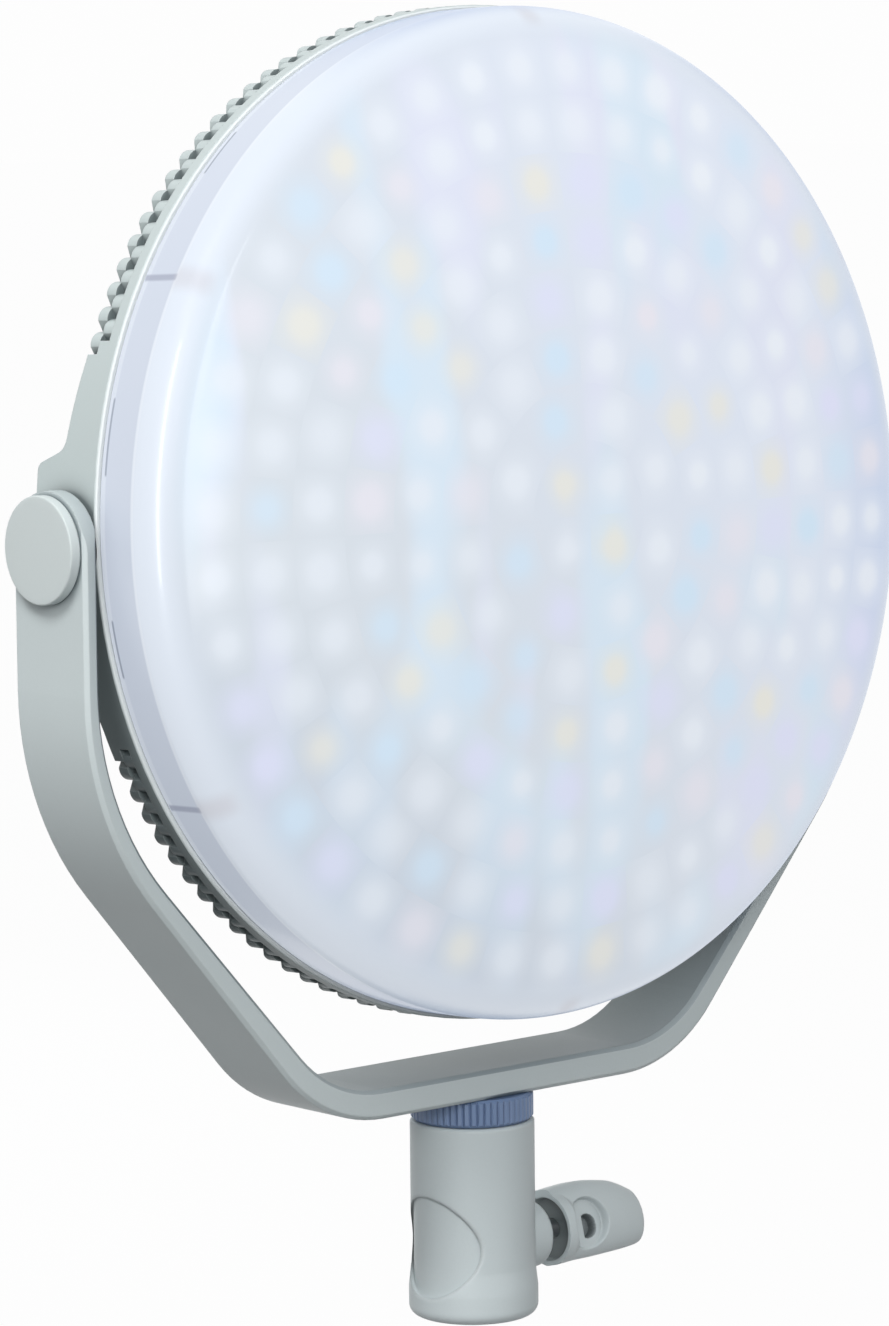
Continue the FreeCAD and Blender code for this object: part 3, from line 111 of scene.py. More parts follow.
# Surface of revolution about the head's Y axis from a profile of radius and depth
def turnedInHead(profile, steps):
    profile = np.asarray(profile, float)
    turn = np.linspace(0, 2 * np.pi, steps, endpoint=False)[:, None]
    radius, depth = profile[None, :, 0], profile[None, :, 1]
    x, z = radius * np.cos(turn), radius * np.sin(turn)
    return fromHead(np.stack([x, np.broadcast_to(depth, x.shape), z], -1))


# Points of an arc about a centre, from one angle to another, both in degrees
def arc(centre, radius, first, last, steps):
    turn = np.radians(np.linspace(first, last, steps))
    return np.stack([centre[0] + radius * np.cos(turn), centre[1] + radius * np.sin(turn)], -1)


def dress(piece, body, slot, material, *replaced):
    piece.data.materials.clear()
    piece.data.materials.append(material)
    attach(piece, body)
    if replaced:
        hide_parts(*replaced)
    return piece


# ---- node helpers

# New shader node; a value may be a number, a colour or another node's output
def addNode(tree, kind, values=None, **settings):
    node = tree.nodes.new("ShaderNode" + kind)
    for name, value in settings.items():
        setattr(node, name, value)
    for key, value in (values or {}).items():
        if isinstance(value, bpy.types.NodeSocket):
            tree.links.new(value, node.inputs[key])
        else:
            node.inputs[key].default_value = value
    return node


def calc(tree, operation, first, second=0.0, clamp=False):
    return addNode(tree, "Math", {0: first, 1: second}, operation=operation, use_clamp=clamp).outputs[0]


# Smooth step of a value from one edge to the other
def ramp(tree, value, low, high, first=0.0, last=1.0):
    values = {"Value": value, "From Min": low, "From Max": high, "To Min": first, "To Max": last}
    return addNode(tree, "MapRange", values, interpolation_type="SMOOTHSTEP").outputs[0]


def mixColour(tree, share, first, second, blend="MIX"):
    values = {0: share, 6: first, 7: second}
    return addNode(tree, "Mix", values, data_type="RGBA", blend_type=blend).outputs[2]


def noise(tree, vector, scale, detail=3.0, roughness=0.5):
    values = {"Vector": vector, "Scale": scale, "Detail": detail, "Roughness": roughness}
    return addNode(tree, "TexNoise", values).outputs[0]


# Colour written as 0 to 255, made linear
def rgb(red, green, blue):
    shares = [channel / 255 for channel in (red, green, blue)]
    return tuple(c / 12.92 if c <= 0.04045 else ((c + 0.055) / 1.055) ** 2.4 for c in shares) + (1.0,)


# New node group with its sockets, each given as name, kind and, for an input, its value
def newGroup(name, inputs, outputs):
    tree = bpy.data.node_groups.new(name, "ShaderNodeTree")
    for label, kind, value in inputs:
        socket = tree.interface.new_socket(name=label, in_out="INPUT", socket_type="NodeSocket" + kind)
        socket.default_value = value
    for label, kind in outputs:
        tree.interface.new_socket(name=label, in_out="OUTPUT", socket_type="NodeSocket" + kind)
    return tree, tree.nodes.new("NodeGroupInput").outputs, tree.nodes.new("NodeGroupOutput").inputs


def objectPlace(tree):
    return addNode(tree, "TexCoord").outputs["Object"]


def offset(tree, value, middle):
    return calc(tree, "ABSOLUTE", calc(tree, "SUBTRACT", value, middle))


# Length of a step whose two parts are at right angles
def apartFrom(tree, first, second):
    squares = [calc(tree, "MULTIPLY", part, part) for part in (first, second)]
    return calc(tree, "SQRT", calc(tree, "ADD", *squares))


# Head coordinates of the shaded point, with its radius about the head's axis, its angle from +X and its depth
# towards the face
def headPlace(tree):
    mapping = addNode(tree, "Mapping", {"Vector": objectPlace(tree), "Location": (0, 0, pivotHeight),
                                        "Rotation": (headTilt, 0, 0)}, vector_type="TEXTURE").outputs[0]
    part = addNode(tree, "SeparateXYZ", {0: mapping}).outputs
    radius = apartFrom(tree, part[0], part[2])
    return mapping, radius, calc(tree, "ARCTAN2", part[2], part[0]), calc(tree, "MULTIPLY", part[1], -1.0)


# Share that is 1 between two values and falls to 0 over a soft margin outside them
def within(tree, value, low, high, margin):
    rise = ramp(tree, value, low - margin, low)
    return calc(tree, "MULTIPLY", rise, ramp(tree, value, high, high + margin, 1.0, 0.0))


# Share that is 1 where the camera, a mirror or a clear piece looks, and 0 for light that only bounces
def seenShare(tree):
    path = addNode(tree, "LightPath").outputs
    mirrored = calc(tree, "MAXIMUM", path["Is Glossy Ray"], path["Is Transmission Ray"])
    return calc(tree, "MAXIMUM", path["Is Camera Ray"], mirrored)


def colourInputs(*names):
    return [(name, "Color", (1, 1, 1, 1)) for name in names]


def floatInputs(*names):
    return [(name, "Float", 0.0) for name in names]


# ---- surfaces

# What all finishes share: scales of the noises, edges of the ramps, and counts of samples
surface = {
    "cloudScale": 11.0, "glossScale": 37.0, "breakScale": 60.0, "speckShare": 0.5, "reliefHeight": 0.0002,
    "bevelSamples": 6, "hollowSamples": 8, "nearSamples": 40, "bendEdges": (0.995, 0.9),
    "breakEdges": (0.3, 0.6, 0.35, 1.0), "openEdges": (0.5, 0.9), "hollowEdges": (0.85, 0.25),
    "nearEdges": (0.95, 0.3),
}


# Moulded or sprayed surface: faint cloudy shade, fine grain in relief, and small changes of gloss
def makeGrainGroup(s):
    inputs = colourInputs("Colour") + floatInputs("Cloud", "Grain", "Relief", "Roughness", "Gloss Change")
    inputs.append(("Normal", "Vector", (0, 0, 1)))
    outputs = [("Colour", "Color"), ("Roughness", "Float"), ("Normal", "Vector")]
    tree, given, result = newGroup("sprayedGrain", inputs, outputs)

    def swing(value, amount):
        return calc(tree, "MULTIPLY", calc(tree, "SUBTRACT", value, 0.5), amount)

    place = objectPlace(tree)
    cloud = noise(tree, place, s["cloudScale"], 4.0)
    fine = noise(tree, place, given["Grain"], 2.0, 0.6)
    speck = swing(fine, calc(tree, "MULTIPLY", given["Cloud"], s["speckShare"]))
    level = calc(tree, "ADD", calc(tree, "ADD", swing(cloud, given["Cloud"]), speck), 1.0)
    grey = addNode(tree, "CombineColor", {0: level, 1: level, 2: level}).outputs[0]
    tree.links.new(mixColour(tree, 1.0, given["Colour"], grey, "MULTIPLY"), result["Colour"])
    change = swing(noise(tree, place, s["glossScale"], 3.0), given["Gloss Change"])
    tree.links.new(calc(tree, "ADD", given["Roughness"], change, clamp=True), result["Roughness"])
    bump = addNode(tree, "Bump", {"Strength": given["Relief"], "Distance": s["reliefHeight"], "Height": fine,
                                  "Normal": given["Normal"]})
    tree.links.new(bump.outputs[0], result["Normal"])
    return tree


# Rounded edges, their wear and painted light: a softened normal near every edge; a lighter edge where that
# normal leaves the true one, partly rubbed wear and partly painted highlight; painted shade in hollows where
# little light gets in, and painted shade where another piece is near
def makeEdgeAndShadeGroup(s):
    inputs = colourInputs("Colour", "Rubbed And Lit Edge", "Shade")
    inputs += floatInputs("Edge", "Hollow Shade", "Soft Edge", "Hollow", "Near", "Near Shade")
    tree, given, result = newGroup("rubbedAndLitEdgesWithPaintedShade", inputs, [("Colour", "Color"), ("Normal", "Vector")])
    soft = addNode(tree, "Bevel", {"Radius": given["Soft Edge"]}, samples=s["bevelSamples"]).outputs[0]
    true = addNode(tree, "NewGeometry").outputs["Normal"]
    bend = addNode(tree, "VectorMath", {0: soft, 1: true}, operation="DOT_PRODUCT").outputs["Value"]
    clear = addNode(tree, "AmbientOcclusion", {"Distance": given["Hollow"]}, samples=s["hollowSamples"],
                    only_local=True).outputs["AO"]
    breakUp = ramp(tree, noise(tree, objectPlace(tree), s["breakScale"], 4.0), *s["breakEdges"])
    # Lighter edges: partly rubbed wear, partly a painted highlight where light catches the rounded edge
    rubbedAndLitEdge = calc(tree, "MULTIPLY", ramp(tree, bend, *s["bendEdges"]), given["Edge"])
    edge = calc(tree, "MULTIPLY", calc(tree, "MULTIPLY", rubbedAndLitEdge, breakUp), ramp(tree, clear, *s["openEdges"]))
    # Painted shade: hollows, and places where another piece is near, are darkened towards the shade colour
    hollow = calc(tree, "MULTIPLY", ramp(tree, clear, *s["hollowEdges"]), given["Hollow Shade"])
    apart = addNode(tree, "AmbientOcclusion", {"Distance": given["Near"]}, samples=s["nearSamples"]).outputs["AO"]
    near = calc(tree, "MULTIPLY", ramp(tree, apart, *s["nearEdges"]), given["Near Shade"])
    shaded = mixColour(tree, calc(tree, "MAXIMUM", hollow, near), given["Colour"], given["Shade"])
    tree.links.new(mixColour(tree, edge, shaded, given["Rubbed And Lit Edge"]), result["Colour"])
    tree.links.new(soft, result["Normal"])
    return tree


grainGroup = makeGrainGroup(surface)
edgeAndShadeGroup = makeEdgeAndShadeGroup(surface)


def newMaterial(name, **settings):
    material = bpy.data.materials.new(name)
    material.use_nodes = True
    tree = material.node_tree
    shader = tree.nodes["Principled BSDF"]
    for socket, value in settings.items():
        shader.inputs[socket.replace("_", " ")].default_value = value
    return material, tree, shader


def placeGroup(tree, group, values):
    return addNode(tree, "Group", values, node_tree=group).outputs


# Values of a finish that doesn't state its own
commonLook = {
    "cloud": 0.05, "grain": 900.0, "relief": 0.1, "glossChange": 0.08, "edge": 0.0, "hollowShade": 0.5,
    "softEdge": 0.0004, "hollow": 0.004, "near": 0.02, "nearShade": 0.0, "shader": {},
}


# Any sprayed, moulded or rubber finish in one colour. Unless the finish says otherwise, its lighter edges
# (rubbed wear and painted highlight) keep that colour and its painted shade in hollows takes half of it.
def grainMaterial(name, stated):
    colour = stated["colour"]
    look = {**commonLook, "rubbedAndLitEdge": colour, "shade": [channel * 0.5 for channel in colour], **stated}
    material, tree, shader = newMaterial(name, **look["shader"])
    edgeAndShade = placeGroup(tree, edgeAndShadeGroup, {
        "Colour": rgb(*colour), "Rubbed And Lit Edge": rgb(*look["rubbedAndLitEdge"]), "Shade": rgb(*look["shade"]),
        "Edge": look["edge"], "Hollow Shade": look["hollowShade"], "Soft Edge": look["softEdge"], "Hollow": look["hollow"],
        "Near": look["near"], "Near Shade": look["nearShade"]})
    grain = placeGroup(tree, grainGroup, {
        "Colour": edgeAndShade["Colour"], "Cloud": look["cloud"], "Grain": look["grain"], "Relief": look["relief"],
        "Roughness": look["roughness"], "Gloss Change": look["glossChange"], "Normal": edgeAndShade["Normal"]})
    tone = grain["Colour"]
    # Painted highlight: a thin line at the shell's front edge takes the lighter edge colour
    if "frontHighlight" in look:
        depth = headPlace(tree)[3]
        tone = mixColour(tree, ramp(tree, depth, *look["frontHighlight"]), tone, rgb(*look["rubbedAndLitEdge"]))
    tree.links.new(tone, shader.inputs["Base Color"])
    tree.links.new(grain["Roughness"], shader.inputs["Roughness"])
    tree.links.new(grain["Normal"], shader.inputs["Normal"])
    return material


# A finish with marks in another colour, whose share a function makes from the place on the piece
def markedMaterial(name, look, marks, colour, inHead=True):
    material = grainMaterial(name, look)
    tree = material.node_tree
    base = tree.nodes["Principled BSDF"].inputs["Base Color"]
    point = headPlace(tree)[0] if inHead else objectPlace(tree)
    part = addNode(tree, "SeparateXYZ", {0: point}).outputs
    tone = mixColour(tree, marks(tree, *part), base.links[0].from_socket, rgb(*colour))
    tree.links.new(tone, base)
    return material


# In these finishes the share that darkens hollows and the shade where another piece is near are painted shade;
# the lighter edge colour is partly rubbed wear and partly painted highlight, and the shell's front line is a
# painted highlight
finishes = {
    "shell": {"colour": (193, 204, 204), "roughness": 0.42, "relief": 0.12, "hollowShade": 0.85, "edge": 0.5,
              "rubbedAndLitEdge": (230, 236, 237), "shade": (86, 96, 98), "hollow": 0.0045, "softEdge": 0.0003,
              "frontHighlight": (0.0133, 0.0138), "near": 0.035, "nearShade": 0.85},
    "yoke": {"colour": (206, 216, 217), "roughness": 0.45, "relief": 0.12, "hollowShade": 0.4, "edge": 0.3,
             "rubbedAndLitEdge": (224, 231, 231), "shade": (92, 106, 112), "softEdge": 0.0007, "near": 0.08,
             "nearShade": 0.78},
    "stand": {"colour": (207, 217, 219), "roughness": 0.45, "relief": 0.12, "hollowShade": 0.12, "edge": 0.35,
              "rubbedAndLitEdge": (230, 237, 237), "softEdge": 0.0018},
    "cap": {"colour": (210, 219, 219), "roughness": 0.38, "relief": 0.08, "grain": 1400.0, "edge": 0.3,
            "rubbedAndLitEdge": (228, 234, 234)},
    "wing": {"colour": (212, 222, 224), "roughness": 0.4, "relief": 0.1, "grain": 1200.0, "softEdge": 0.0005,
             "hollowShade": 0.9, "shade": (44, 52, 56), "hollow": 0.007, "near": 0.008, "nearShade": 0.5},
    "ring": {"colour": (118, 140, 176), "roughness": 0.38, "relief": 0.05, "hollowShade": 0.7, "edge": 0.35,
             "rubbedAndLitEdge": (158, 178, 208), "shade": (44, 56, 84), "hollow": 0.002, "softEdge": 0.00015},
    "blackPlastic": {"colour": (30, 31, 33), "roughness": 0.5, "relief": 0.15},
    "fasciaBlack": {"colour": (36, 38, 41), "roughness": 0.42, "relief": 0.2, "grain": 1500.0,
                    "softEdge": 0.0003},
    "glossBlack": {"colour": (18, 18, 20), "roughness": 0.2, "relief": 0.03},
    "housing": {"colour": (112, 118, 120), "roughness": 0.5, "relief": 0.25, "edge": 0.4,
                "rubbedAndLitEdge": (140, 146, 148), "hollowShade": 0.5, "softEdge": 0.0008},
    "rubber": {"colour": (128, 132, 138), "roughness": 0.65, "relief": 0.1, "softEdge": 0.0005},
    "white": {"colour": (225, 228, 230), "roughness": 0.5, "relief": 0.05},
    "peg": {"colour": (150, 150, 156), "roughness": 0.5, "relief": 0.05},
    "board": {"colour": (30, 96, 60), "roughness": 0.4, "relief": 0.05},
    "chip": {"colour": (232, 214, 140), "roughness": 0.25, "relief": 0.02},
    "steel": {"colour": (196, 198, 200), "roughness": 0.3, "relief": 0.1, "hollowShade": 0.15,
              "shader": {"Metallic": 1.0}},
    "brass": {"colour": (206, 178, 110), "roughness": 0.3, "relief": 0.1, "shader": {"Metallic": 1.0}},
    "aluminium": {"colour": (200, 201, 203), "roughness": 0.35, "relief": 0.1, "shader": {"Metallic": 1.0}},
    "window": {"colour": (8, 12, 20), "roughness": 0.12, "relief": 0.0, "cloud": 0.2,
               "shader": {"Specular_IOR_Level": 0.2}},
    "print": {"colour": (214, 218, 222), "roughness": 0.5, "relief": 0.05},
}
made = {name: grainMaterial(name, look) for name, look in finishes.items()}
nodeFinish = {
    "receiver_body": "stand", "clamp_wing": "wing", "clamp_screw": "steel", "clamp_pad": "brass",
    "lock_ring": "ring", "swivel_post": "steel", "thrust_washer": "blackPlastic", "post_clip": "steel",
    "yoke": "yoke", "left_pivot_bolt": "steel", "left_pivot_cap": "cap", "left_pivot_washer": "blackPlastic",
    "right_pivot_washer": "blackPlastic", "knob_washer": "steel", "tilt_knob": "blackPlastic",
    "tilt_stud": "steel", "rear_shell": "shell", "diffuser": "white", "diffuser_pegs": "peg",
    "reflector": "white", "led_board": "white", "led_chips": "chip", "heat_spreader": "aluminium",
    "shell_screws": "steel", "rear_housing": "housing", "housing_screws": "steel", "fascia": "fasciaBlack",
    "display_window": "window", "display_module": "glossBlack", "control_board": "board",
    "left_encoder": "steel", "right_encoder": "steel", "button_switches": "steel",
    "rocker_frame": "blackPlastic", "power_board": "board", "power_components": "glossBlack",
    "dc_socket": "blackPlastic", "usb_socket": "steel", "left_pivot_bush": "brass",
    "right_pivot_bush": "brass", "left_dial": "blackPlastic", "left_shaft": "steel",
    "right_dial": "blackPlastic", "right_shaft": "steel", "power_rocker": "glossBlack",
    "button_1": "rubber", "button_2": "rubber", "button_3": "rubber", "button_4": "rubber",
}
for name, finish in nodeFinish.items():
    slots = nodes[name].material_slots
    for slot in slots:
        slot.material = made[finish]
    if not len(slots):
        nodes[name].data.materials.append(made[finish])
print("finishes on the frame's nodes")


# ---- opal diffuser

# Tones are given with their greatest share, edges as the two values between which a share grows
diffuser = {
    "radius": 0.1538, "wall": 0.002, "foot": 0.0143, "shoulderStart": 0.0293, "shoulder": 0.012,
    "rise": 0.0266, "spigot": 0.1497, "spigotEnd": 0.009, "footLift": 0.0001, "footBevel": (0.0003, 0.0005),
    "wallStart": 0.001, "wallRows": 8, "shoulderRows": (16, 10), "crownRows": (60, 40), "steps": 384,
    "shader": {"Roughness": 0.35, "Coat_Weight": 0.35, "Coat_Roughness": 0.1, "Emission_Strength": 0.62},
    "glowOnOthers": 0.3, "litShare": 0.42,
    "paper": (214, 222, 230), "white": (232, 239, 248), "rightLitWhite": (238, 244, 253),
    "rose": (235, 233, 243), "warm": (236, 235, 226), "cyan": (211, 233, 251), "lilac": (225, 228, 253),
    "tints": (("Rose", 0.46), ("Warm", 0.6), ("Cyan", 0.72), ("Lilac", 0.86)),
    # Paper tones to the right and at the rim are painted light, those low, far and at the limb painted shade; the
    # two lines are painted highlights, and the peg tones painted shadows
    "tones": {
        "rightLitPaper": ((225, 233, 247), 1.0), "lilacPaper": ((225, 230, 247), 1.0),
        "cyanPaper": ((217, 233, 247), 1.0), "lowShadedPaper": ((202, 212, 226), 0.75),
        "farShadedPaper": ((192, 208, 238), 0.7), "rimLitPaper": ((220, 228, 239), 1.0),
        "band": ((202, 210, 224), 1.0), "line": ((232, 238, 246), 0.5), "footLine": ((232, 238, 246), 0.35),
        "pegShade": ((150, 156, 176), 0.75), "pegShadowTail": ((204, 204, 212), 0.55),
        "latchShade": ((120, 130, 150), 0.7), "limbShadedPaper": ((158, 176, 207), 0.92),
    },
    "rightWay": (0.8, 0.0, 0.4), "rightEdges": (-0.12, 0.1), "whiteEdges": (-0.1, 0.1),
    "lowWay": (-0.6, 0.0, -0.8), "lowEdges": (0.07, 0.14), "farEdges": (0.1, 0.152), "rimEdges": (0.14, 0.1515),
    "columns": ((0.0, "lilacPaper"), (0.7, "cyanPaper")), "columnScale": 30.0, "columnStretch": 0.25,
    "columnEdges": (0.54, 0.68),
    "ledPitch": 0.0173, "ledInset": 0.0034, "rings": 8, "ledsEachRing": 6.0, "ledsLess": 2.0, "ledSeed": 5.0,
    "spotRadius": 0.0066, "spotWidth": (0.4, 0.8), "spotCore": 0.3, "spotLight": (0.45, 0.2),
    "haloReach": 1.9, "haloLight": 0.55, "gainEdges": (-0.12, 0.11), "leftGain": 0.7, "rightGain": 1.5,
    "bandSoft": 0.0012, "linePlace": (-0.0002, 0.0003), "lineSoft": 0.0006, "footLineHeight": 0.0022,
    "footLineSoft": 0.0008,
    "pegs": 6, "pegStart": 30.0, "pegHalfWidth": 0.0009, "pegEdges": (1.7, 0.5), "pegEnds": (0.0012, 0.0004),
    "pegSoft": 0.0008,
    "pegShadowTailAcross": (0.006, 0.0004), "pegShadowTailRadius": (0.1455, 0.151), "pegShadowTailDepth": (-0.002, 0.001),
    "latches": ((130, 136), (164, 172), (188, 194), (310, 316), (344, 352), (8, 14)),
    "latchPlace": (0.0021, 0.0026), "latchSoft": 0.0003, "latchEnd": 0.4,
    "limbs": ((0.009, 0.0, (-0.6, -0.1)), (0.0118, 0.0072, (0.1, 0.8))),
}


# Solid of revolution: spigot, skirt, shoulder arc and crown arc outside, the same less the wall inside.
# The crown's radius follows from its height above the shoulder's centre.
def diffuserProfile(d):
    radius, foot, start, shoulder = d["radius"], d["foot"], d["shoulderStart"], d["shoulder"]
    wall, rise, spigot, spigotEnd = d["wall"], d["rise"], d["spigot"], d["spigotEnd"]
    shoulderRing = radius - shoulder
    crown = (shoulderRing ** 2 + rise ** 2 - shoulder ** 2) / (2 * (rise - shoulder))
    centreDepth = -start - rise + crown
    lean = math.degrees(math.atan2(centreDepth + start, shoulderRing))
    seat, (bevelIn, bevelUp) = -foot - d["footLift"], d["footBevel"]
    rows, shoulderRows, crownRows = d["wallRows"], d["shoulderRows"], d["crownRows"]
    outer = [[(spigot, -spigotEnd), (spigot, seat), (radius - bevelIn, seat), (radius, -foot - bevelUp)],
             np.stack([np.full(rows, radius), -np.linspace(foot + d["wallStart"], start, rows)], -1),
             arc((shoulderRing, -start), shoulder, 0, -lean, shoulderRows[0])[1:],
             arc((0, centreDepth), crown, -lean, -90, crownRows[0])[1:]]
    inner = [arc((0, centreDepth), crown - wall, -90, -lean, crownRows[1]),
             arc((shoulderRing, -start), shoulder - wall, -lean, 0, shoulderRows[1])[1:],
             [(radius - wall, -foot - wall), (spigot - wall, -foot - wall), (spigot - wall, -spigotEnd)]]
    return np.concatenate([np.asarray(run, float) for run in outer + inner])


# Light emitting chips seen as soft spots, in rings at a fixed pitch. A ring holds four equal quarters, each
# with the whole number of places that fits its length, and a point's place is its angle over the ring's step.
def makeLedGroup(d):
    inputs = colourInputs("Paper", "White", *(name for name, share in d["tints"]))
    inputs += floatInputs("Pitch", "Inset", "Rings", "Spot", "Gain")
    tree, given, result = newGroup("ledSpots", inputs, [("Colour", "Color")])

    def scaled(value, change, least):
        return calc(tree, "ADD", calc(tree, "MULTIPLY", value, change), least)

    radius, turn = headPlace(tree)[1:3]
    ring = calc(tree, "ROUND", calc(tree, "DIVIDE", calc(tree, "ADD", radius, given["Inset"]), given["Pitch"]))
    ring = calc(tree, "MINIMUM", calc(tree, "MAXIMUM", ring, 1.0), given["Rings"])
    fitting = calc(tree, "SUBTRACT", calc(tree, "MULTIPLY", ring, d["ledsEachRing"]), d["ledsLess"])
    inRing = calc(tree, "MULTIPLY", calc(tree, "FLOOR", calc(tree, "DIVIDE", fitting, 4.0)), 4.0)
    step = calc(tree, "DIVIDE", 2 * math.pi, inRing)
    place = calc(tree, "FLOOR", calc(tree, "DIVIDE", turn, step))
    index = calc(tree, "FLOORED_MODULO", place, inRing)
    middle = calc(tree, "MULTIPLY", calc(tree, "ADD", place, 0.5), step)
    across = calc(tree, "MULTIPLY", calc(tree, "SUBTRACT", turn, middle), radius)
    ringRadius = calc(tree, "SUBTRACT", calc(tree, "MULTIPLY", ring, given["Pitch"]), given["Inset"])
    apart = apartFrom(tree, across, calc(tree, "SUBTRACT", radius, ringRadius))
    seed = addNode(tree, "CombineXYZ", {0: ring, 1: index, 2: d["ledSeed"]}).outputs[0]
    chance = addNode(tree, "TexWhiteNoise", {"Vector": seed}).outputs
    strength = addNode(tree, "SeparateColor", {0: chance["Color"]}).outputs
    width = calc(tree, "MULTIPLY", given["Spot"], scaled(strength[2], *d["spotWidth"]))
    spot = ramp(tree, apart, width, calc(tree, "MULTIPLY", width, d["spotCore"]))
    halo = ramp(tree, apart, calc(tree, "MULTIPLY", width, d["haloReach"]), 0.0)
    core = calc(tree, "MULTIPLY", spot, scaled(strength[1], *d["spotLight"]))
    core = calc(tree, "MULTIPLY", core, given["Gain"], clamp=True)
    tint = given["White"]
    for name, share in d["tints"]:
        tint = mixColour(tree, calc(tree, "GREATER_THAN", chance["Value"], share), tint, given[name])
    base = mixColour(tree, calc(tree, "MULTIPLY", halo, d["haloLight"]), given["Paper"], tint)
    tree.links.new(mixColour(tree, core, base, tint), result["Colour"])
    return tree


# Opal sheet: paper colour in lilac and cyan columns, lighter to the right and near the rim as painted light,
# darker low on the left and greyer towards the far right as painted shade; spots made stronger on the right as
# painted light; a bluish side wall with a painted highlight line where it meets the shoulder and another at its
# foot; the pegs' painted shadows and the latches' shadows in the wall; a soft painted shadow beyond each peg;
# and a bluer painted shade at the left and right edges of the shoulder
def makeOpal(d):
    material, tree, shader = newMaterial("opal", **d["shader"])
    mapping, radius, turn, depth = headPlace(tree)
    start, foot = d["shoulderStart"], d["foot"]

    def both(first, second):
        return calc(tree, "MULTIPLY", first, second)

    def towards(way):
        return addNode(tree, "VectorMath", {0: mapping, 1: way}, operation="DOT_PRODUCT").outputs["Value"]

    def toned(base, share, name):
        tone, most = d["tones"][name]
        return mixColour(tree, both(share, most), base, rgb(*tone))

    slope = towards(d["rightWay"])
    east = addNode(tree, "SeparateXYZ", {0: mapping}).outputs[0]
    # Painted light: the paper is lighter towards the right
    paper = toned(rgb(*d["paper"]), ramp(tree, slope, *d["rightEdges"]), "rightLitPaper")
    for shift, name in d["columns"]:
        tall = addNode(tree, "Mapping", {"Vector": mapping, "Location": (shift, 0, 0),
                                         "Scale": (1, 1, d["columnStretch"])}).outputs[0]
        paper = toned(paper, ramp(tree, noise(tree, tall, d["columnScale"], 1.0), *d["columnEdges"]), name)
    # Painted shade: darker low on the left, and greyer and bluer towards the far right
    paper = toned(paper, ramp(tree, towards(d["lowWay"]), *d["lowEdges"]), "lowShadedPaper")
    paper = toned(paper, ramp(tree, east, *d["farEdges"]), "farShadedPaper")
    # Painted highlight: lighter near the rim
    paper = toned(paper, ramp(tree, radius, *d["rimEdges"]), "rimLitPaper")
    # Painted light: spots whiter and stronger on the right, fainter on the left
    white = mixColour(tree, ramp(tree, slope, *d["whiteEdges"]), rgb(*d["white"]), rgb(*d["rightLitWhite"]))
    gain = ramp(tree, slope, *d["gainEdges"], d["leftGain"], d["rightGain"])
    values = {"Paper": paper, "White": white, "Pitch": d["ledPitch"], "Inset": d["ledInset"],
              "Rings": float(d["rings"]), "Spot": d["spotRadius"], "Gain": gain}
    values.update({name: rgb(*d[name.lower()]) for name, share in d["tints"]})
    colour = placeGroup(tree, makeLedGroup(d), values)["Colour"]

    colour = toned(colour, ramp(tree, depth, start + d["bandSoft"], start - d["bandSoft"]), "band")
    # Painted highlights: a light line where the wall meets the shoulder, and another at the wall's foot
    first, last = d["linePlace"]
    colour = toned(colour, within(tree, depth, start + first, start + last, d["lineSoft"]), "line")
    footLine = within(tree, depth, foot, foot + d["footLineHeight"], d["footLineSoft"])
    colour = toned(colour, footLine, "footLine")

    pegStep = 2 * math.pi / d["pegs"]
    fromPeg = calc(tree, "SUBTRACT", turn, math.radians(d["pegStart"]))
    nearest = both(calc(tree, "ROUND", calc(tree, "DIVIDE", fromPeg, pegStep)), pegStep)
    across = calc(tree, "ABSOLUTE", both(calc(tree, "SUBTRACT", fromPeg, nearest), radius))
    outer, inner = (d["pegHalfWidth"] * share for share in d["pegEdges"])
    upright = within(tree, depth, foot + d["pegEnds"][0], start - d["pegEnds"][1], d["pegSoft"])
    colour = toned(colour, both(ramp(tree, across, outer, inner), upright), "pegShade")
    # A soft painted shadow beyond each peg, on the shoulder
    first, last = d["pegShadowTailDepth"]
    onRim = both(ramp(tree, radius, *d["pegShadowTailRadius"]), ramp(tree, depth, start + first, start + last))
    colour = toned(colour, both(ramp(tree, across, *d["pegShadowTailAcross"]), onRim), "pegShadowTail")

    degrees = calc(tree, "FLOORED_MODULO", both(turn, 180 / math.pi), 360.0)
    first, last = d["latchPlace"]
    slit = within(tree, depth, foot + first, foot + last, d["latchSoft"])
    for first, last in d["latches"]:
        colour = toned(colour, both(within(tree, degrees, first, last, d["latchEnd"]), slit), "latchShade")

    # Painted shade: bluer at the left and right edges of the shoulder
    side = calc(tree, "DIVIDE", east, radius)
    limbs = [both(ramp(tree, depth, start + outer, start + inner), ramp(tree, side, *edges))
             for outer, inner, edges in d["limbs"]]
    colour = toned(colour, calc(tree, "MAXIMUM", *limbs), "limbShadedPaper")
    black = (0, 0, 0, 1)
    onOthers = ramp(tree, addNode(tree, "LightPath").outputs["Is Diffuse Ray"], 0.0, 1.0, 1.0, d["glowOnOthers"])
    tree.links.new(mixColour(tree, d["litShare"], black, colour), shader.inputs["Base Color"])
    tree.links.new(mixColour(tree, onOthers, black, colour), shader.inputs["Emission Color"])
    return material


opal = makeOpal(diffuser)
domeGrid = turnedInHead(diffuserProfile(diffuser), diffuser["steps"])
dome = gridPiece("diffuser_dome", domeGrid, True, True, sharpAngle=40)
dress(dome, "head", "opal", opal, "diffuser")
print("diffuser made")


# ---- rear panel: printed marks, the display's figures, pointers on the dials, marks on the rocker

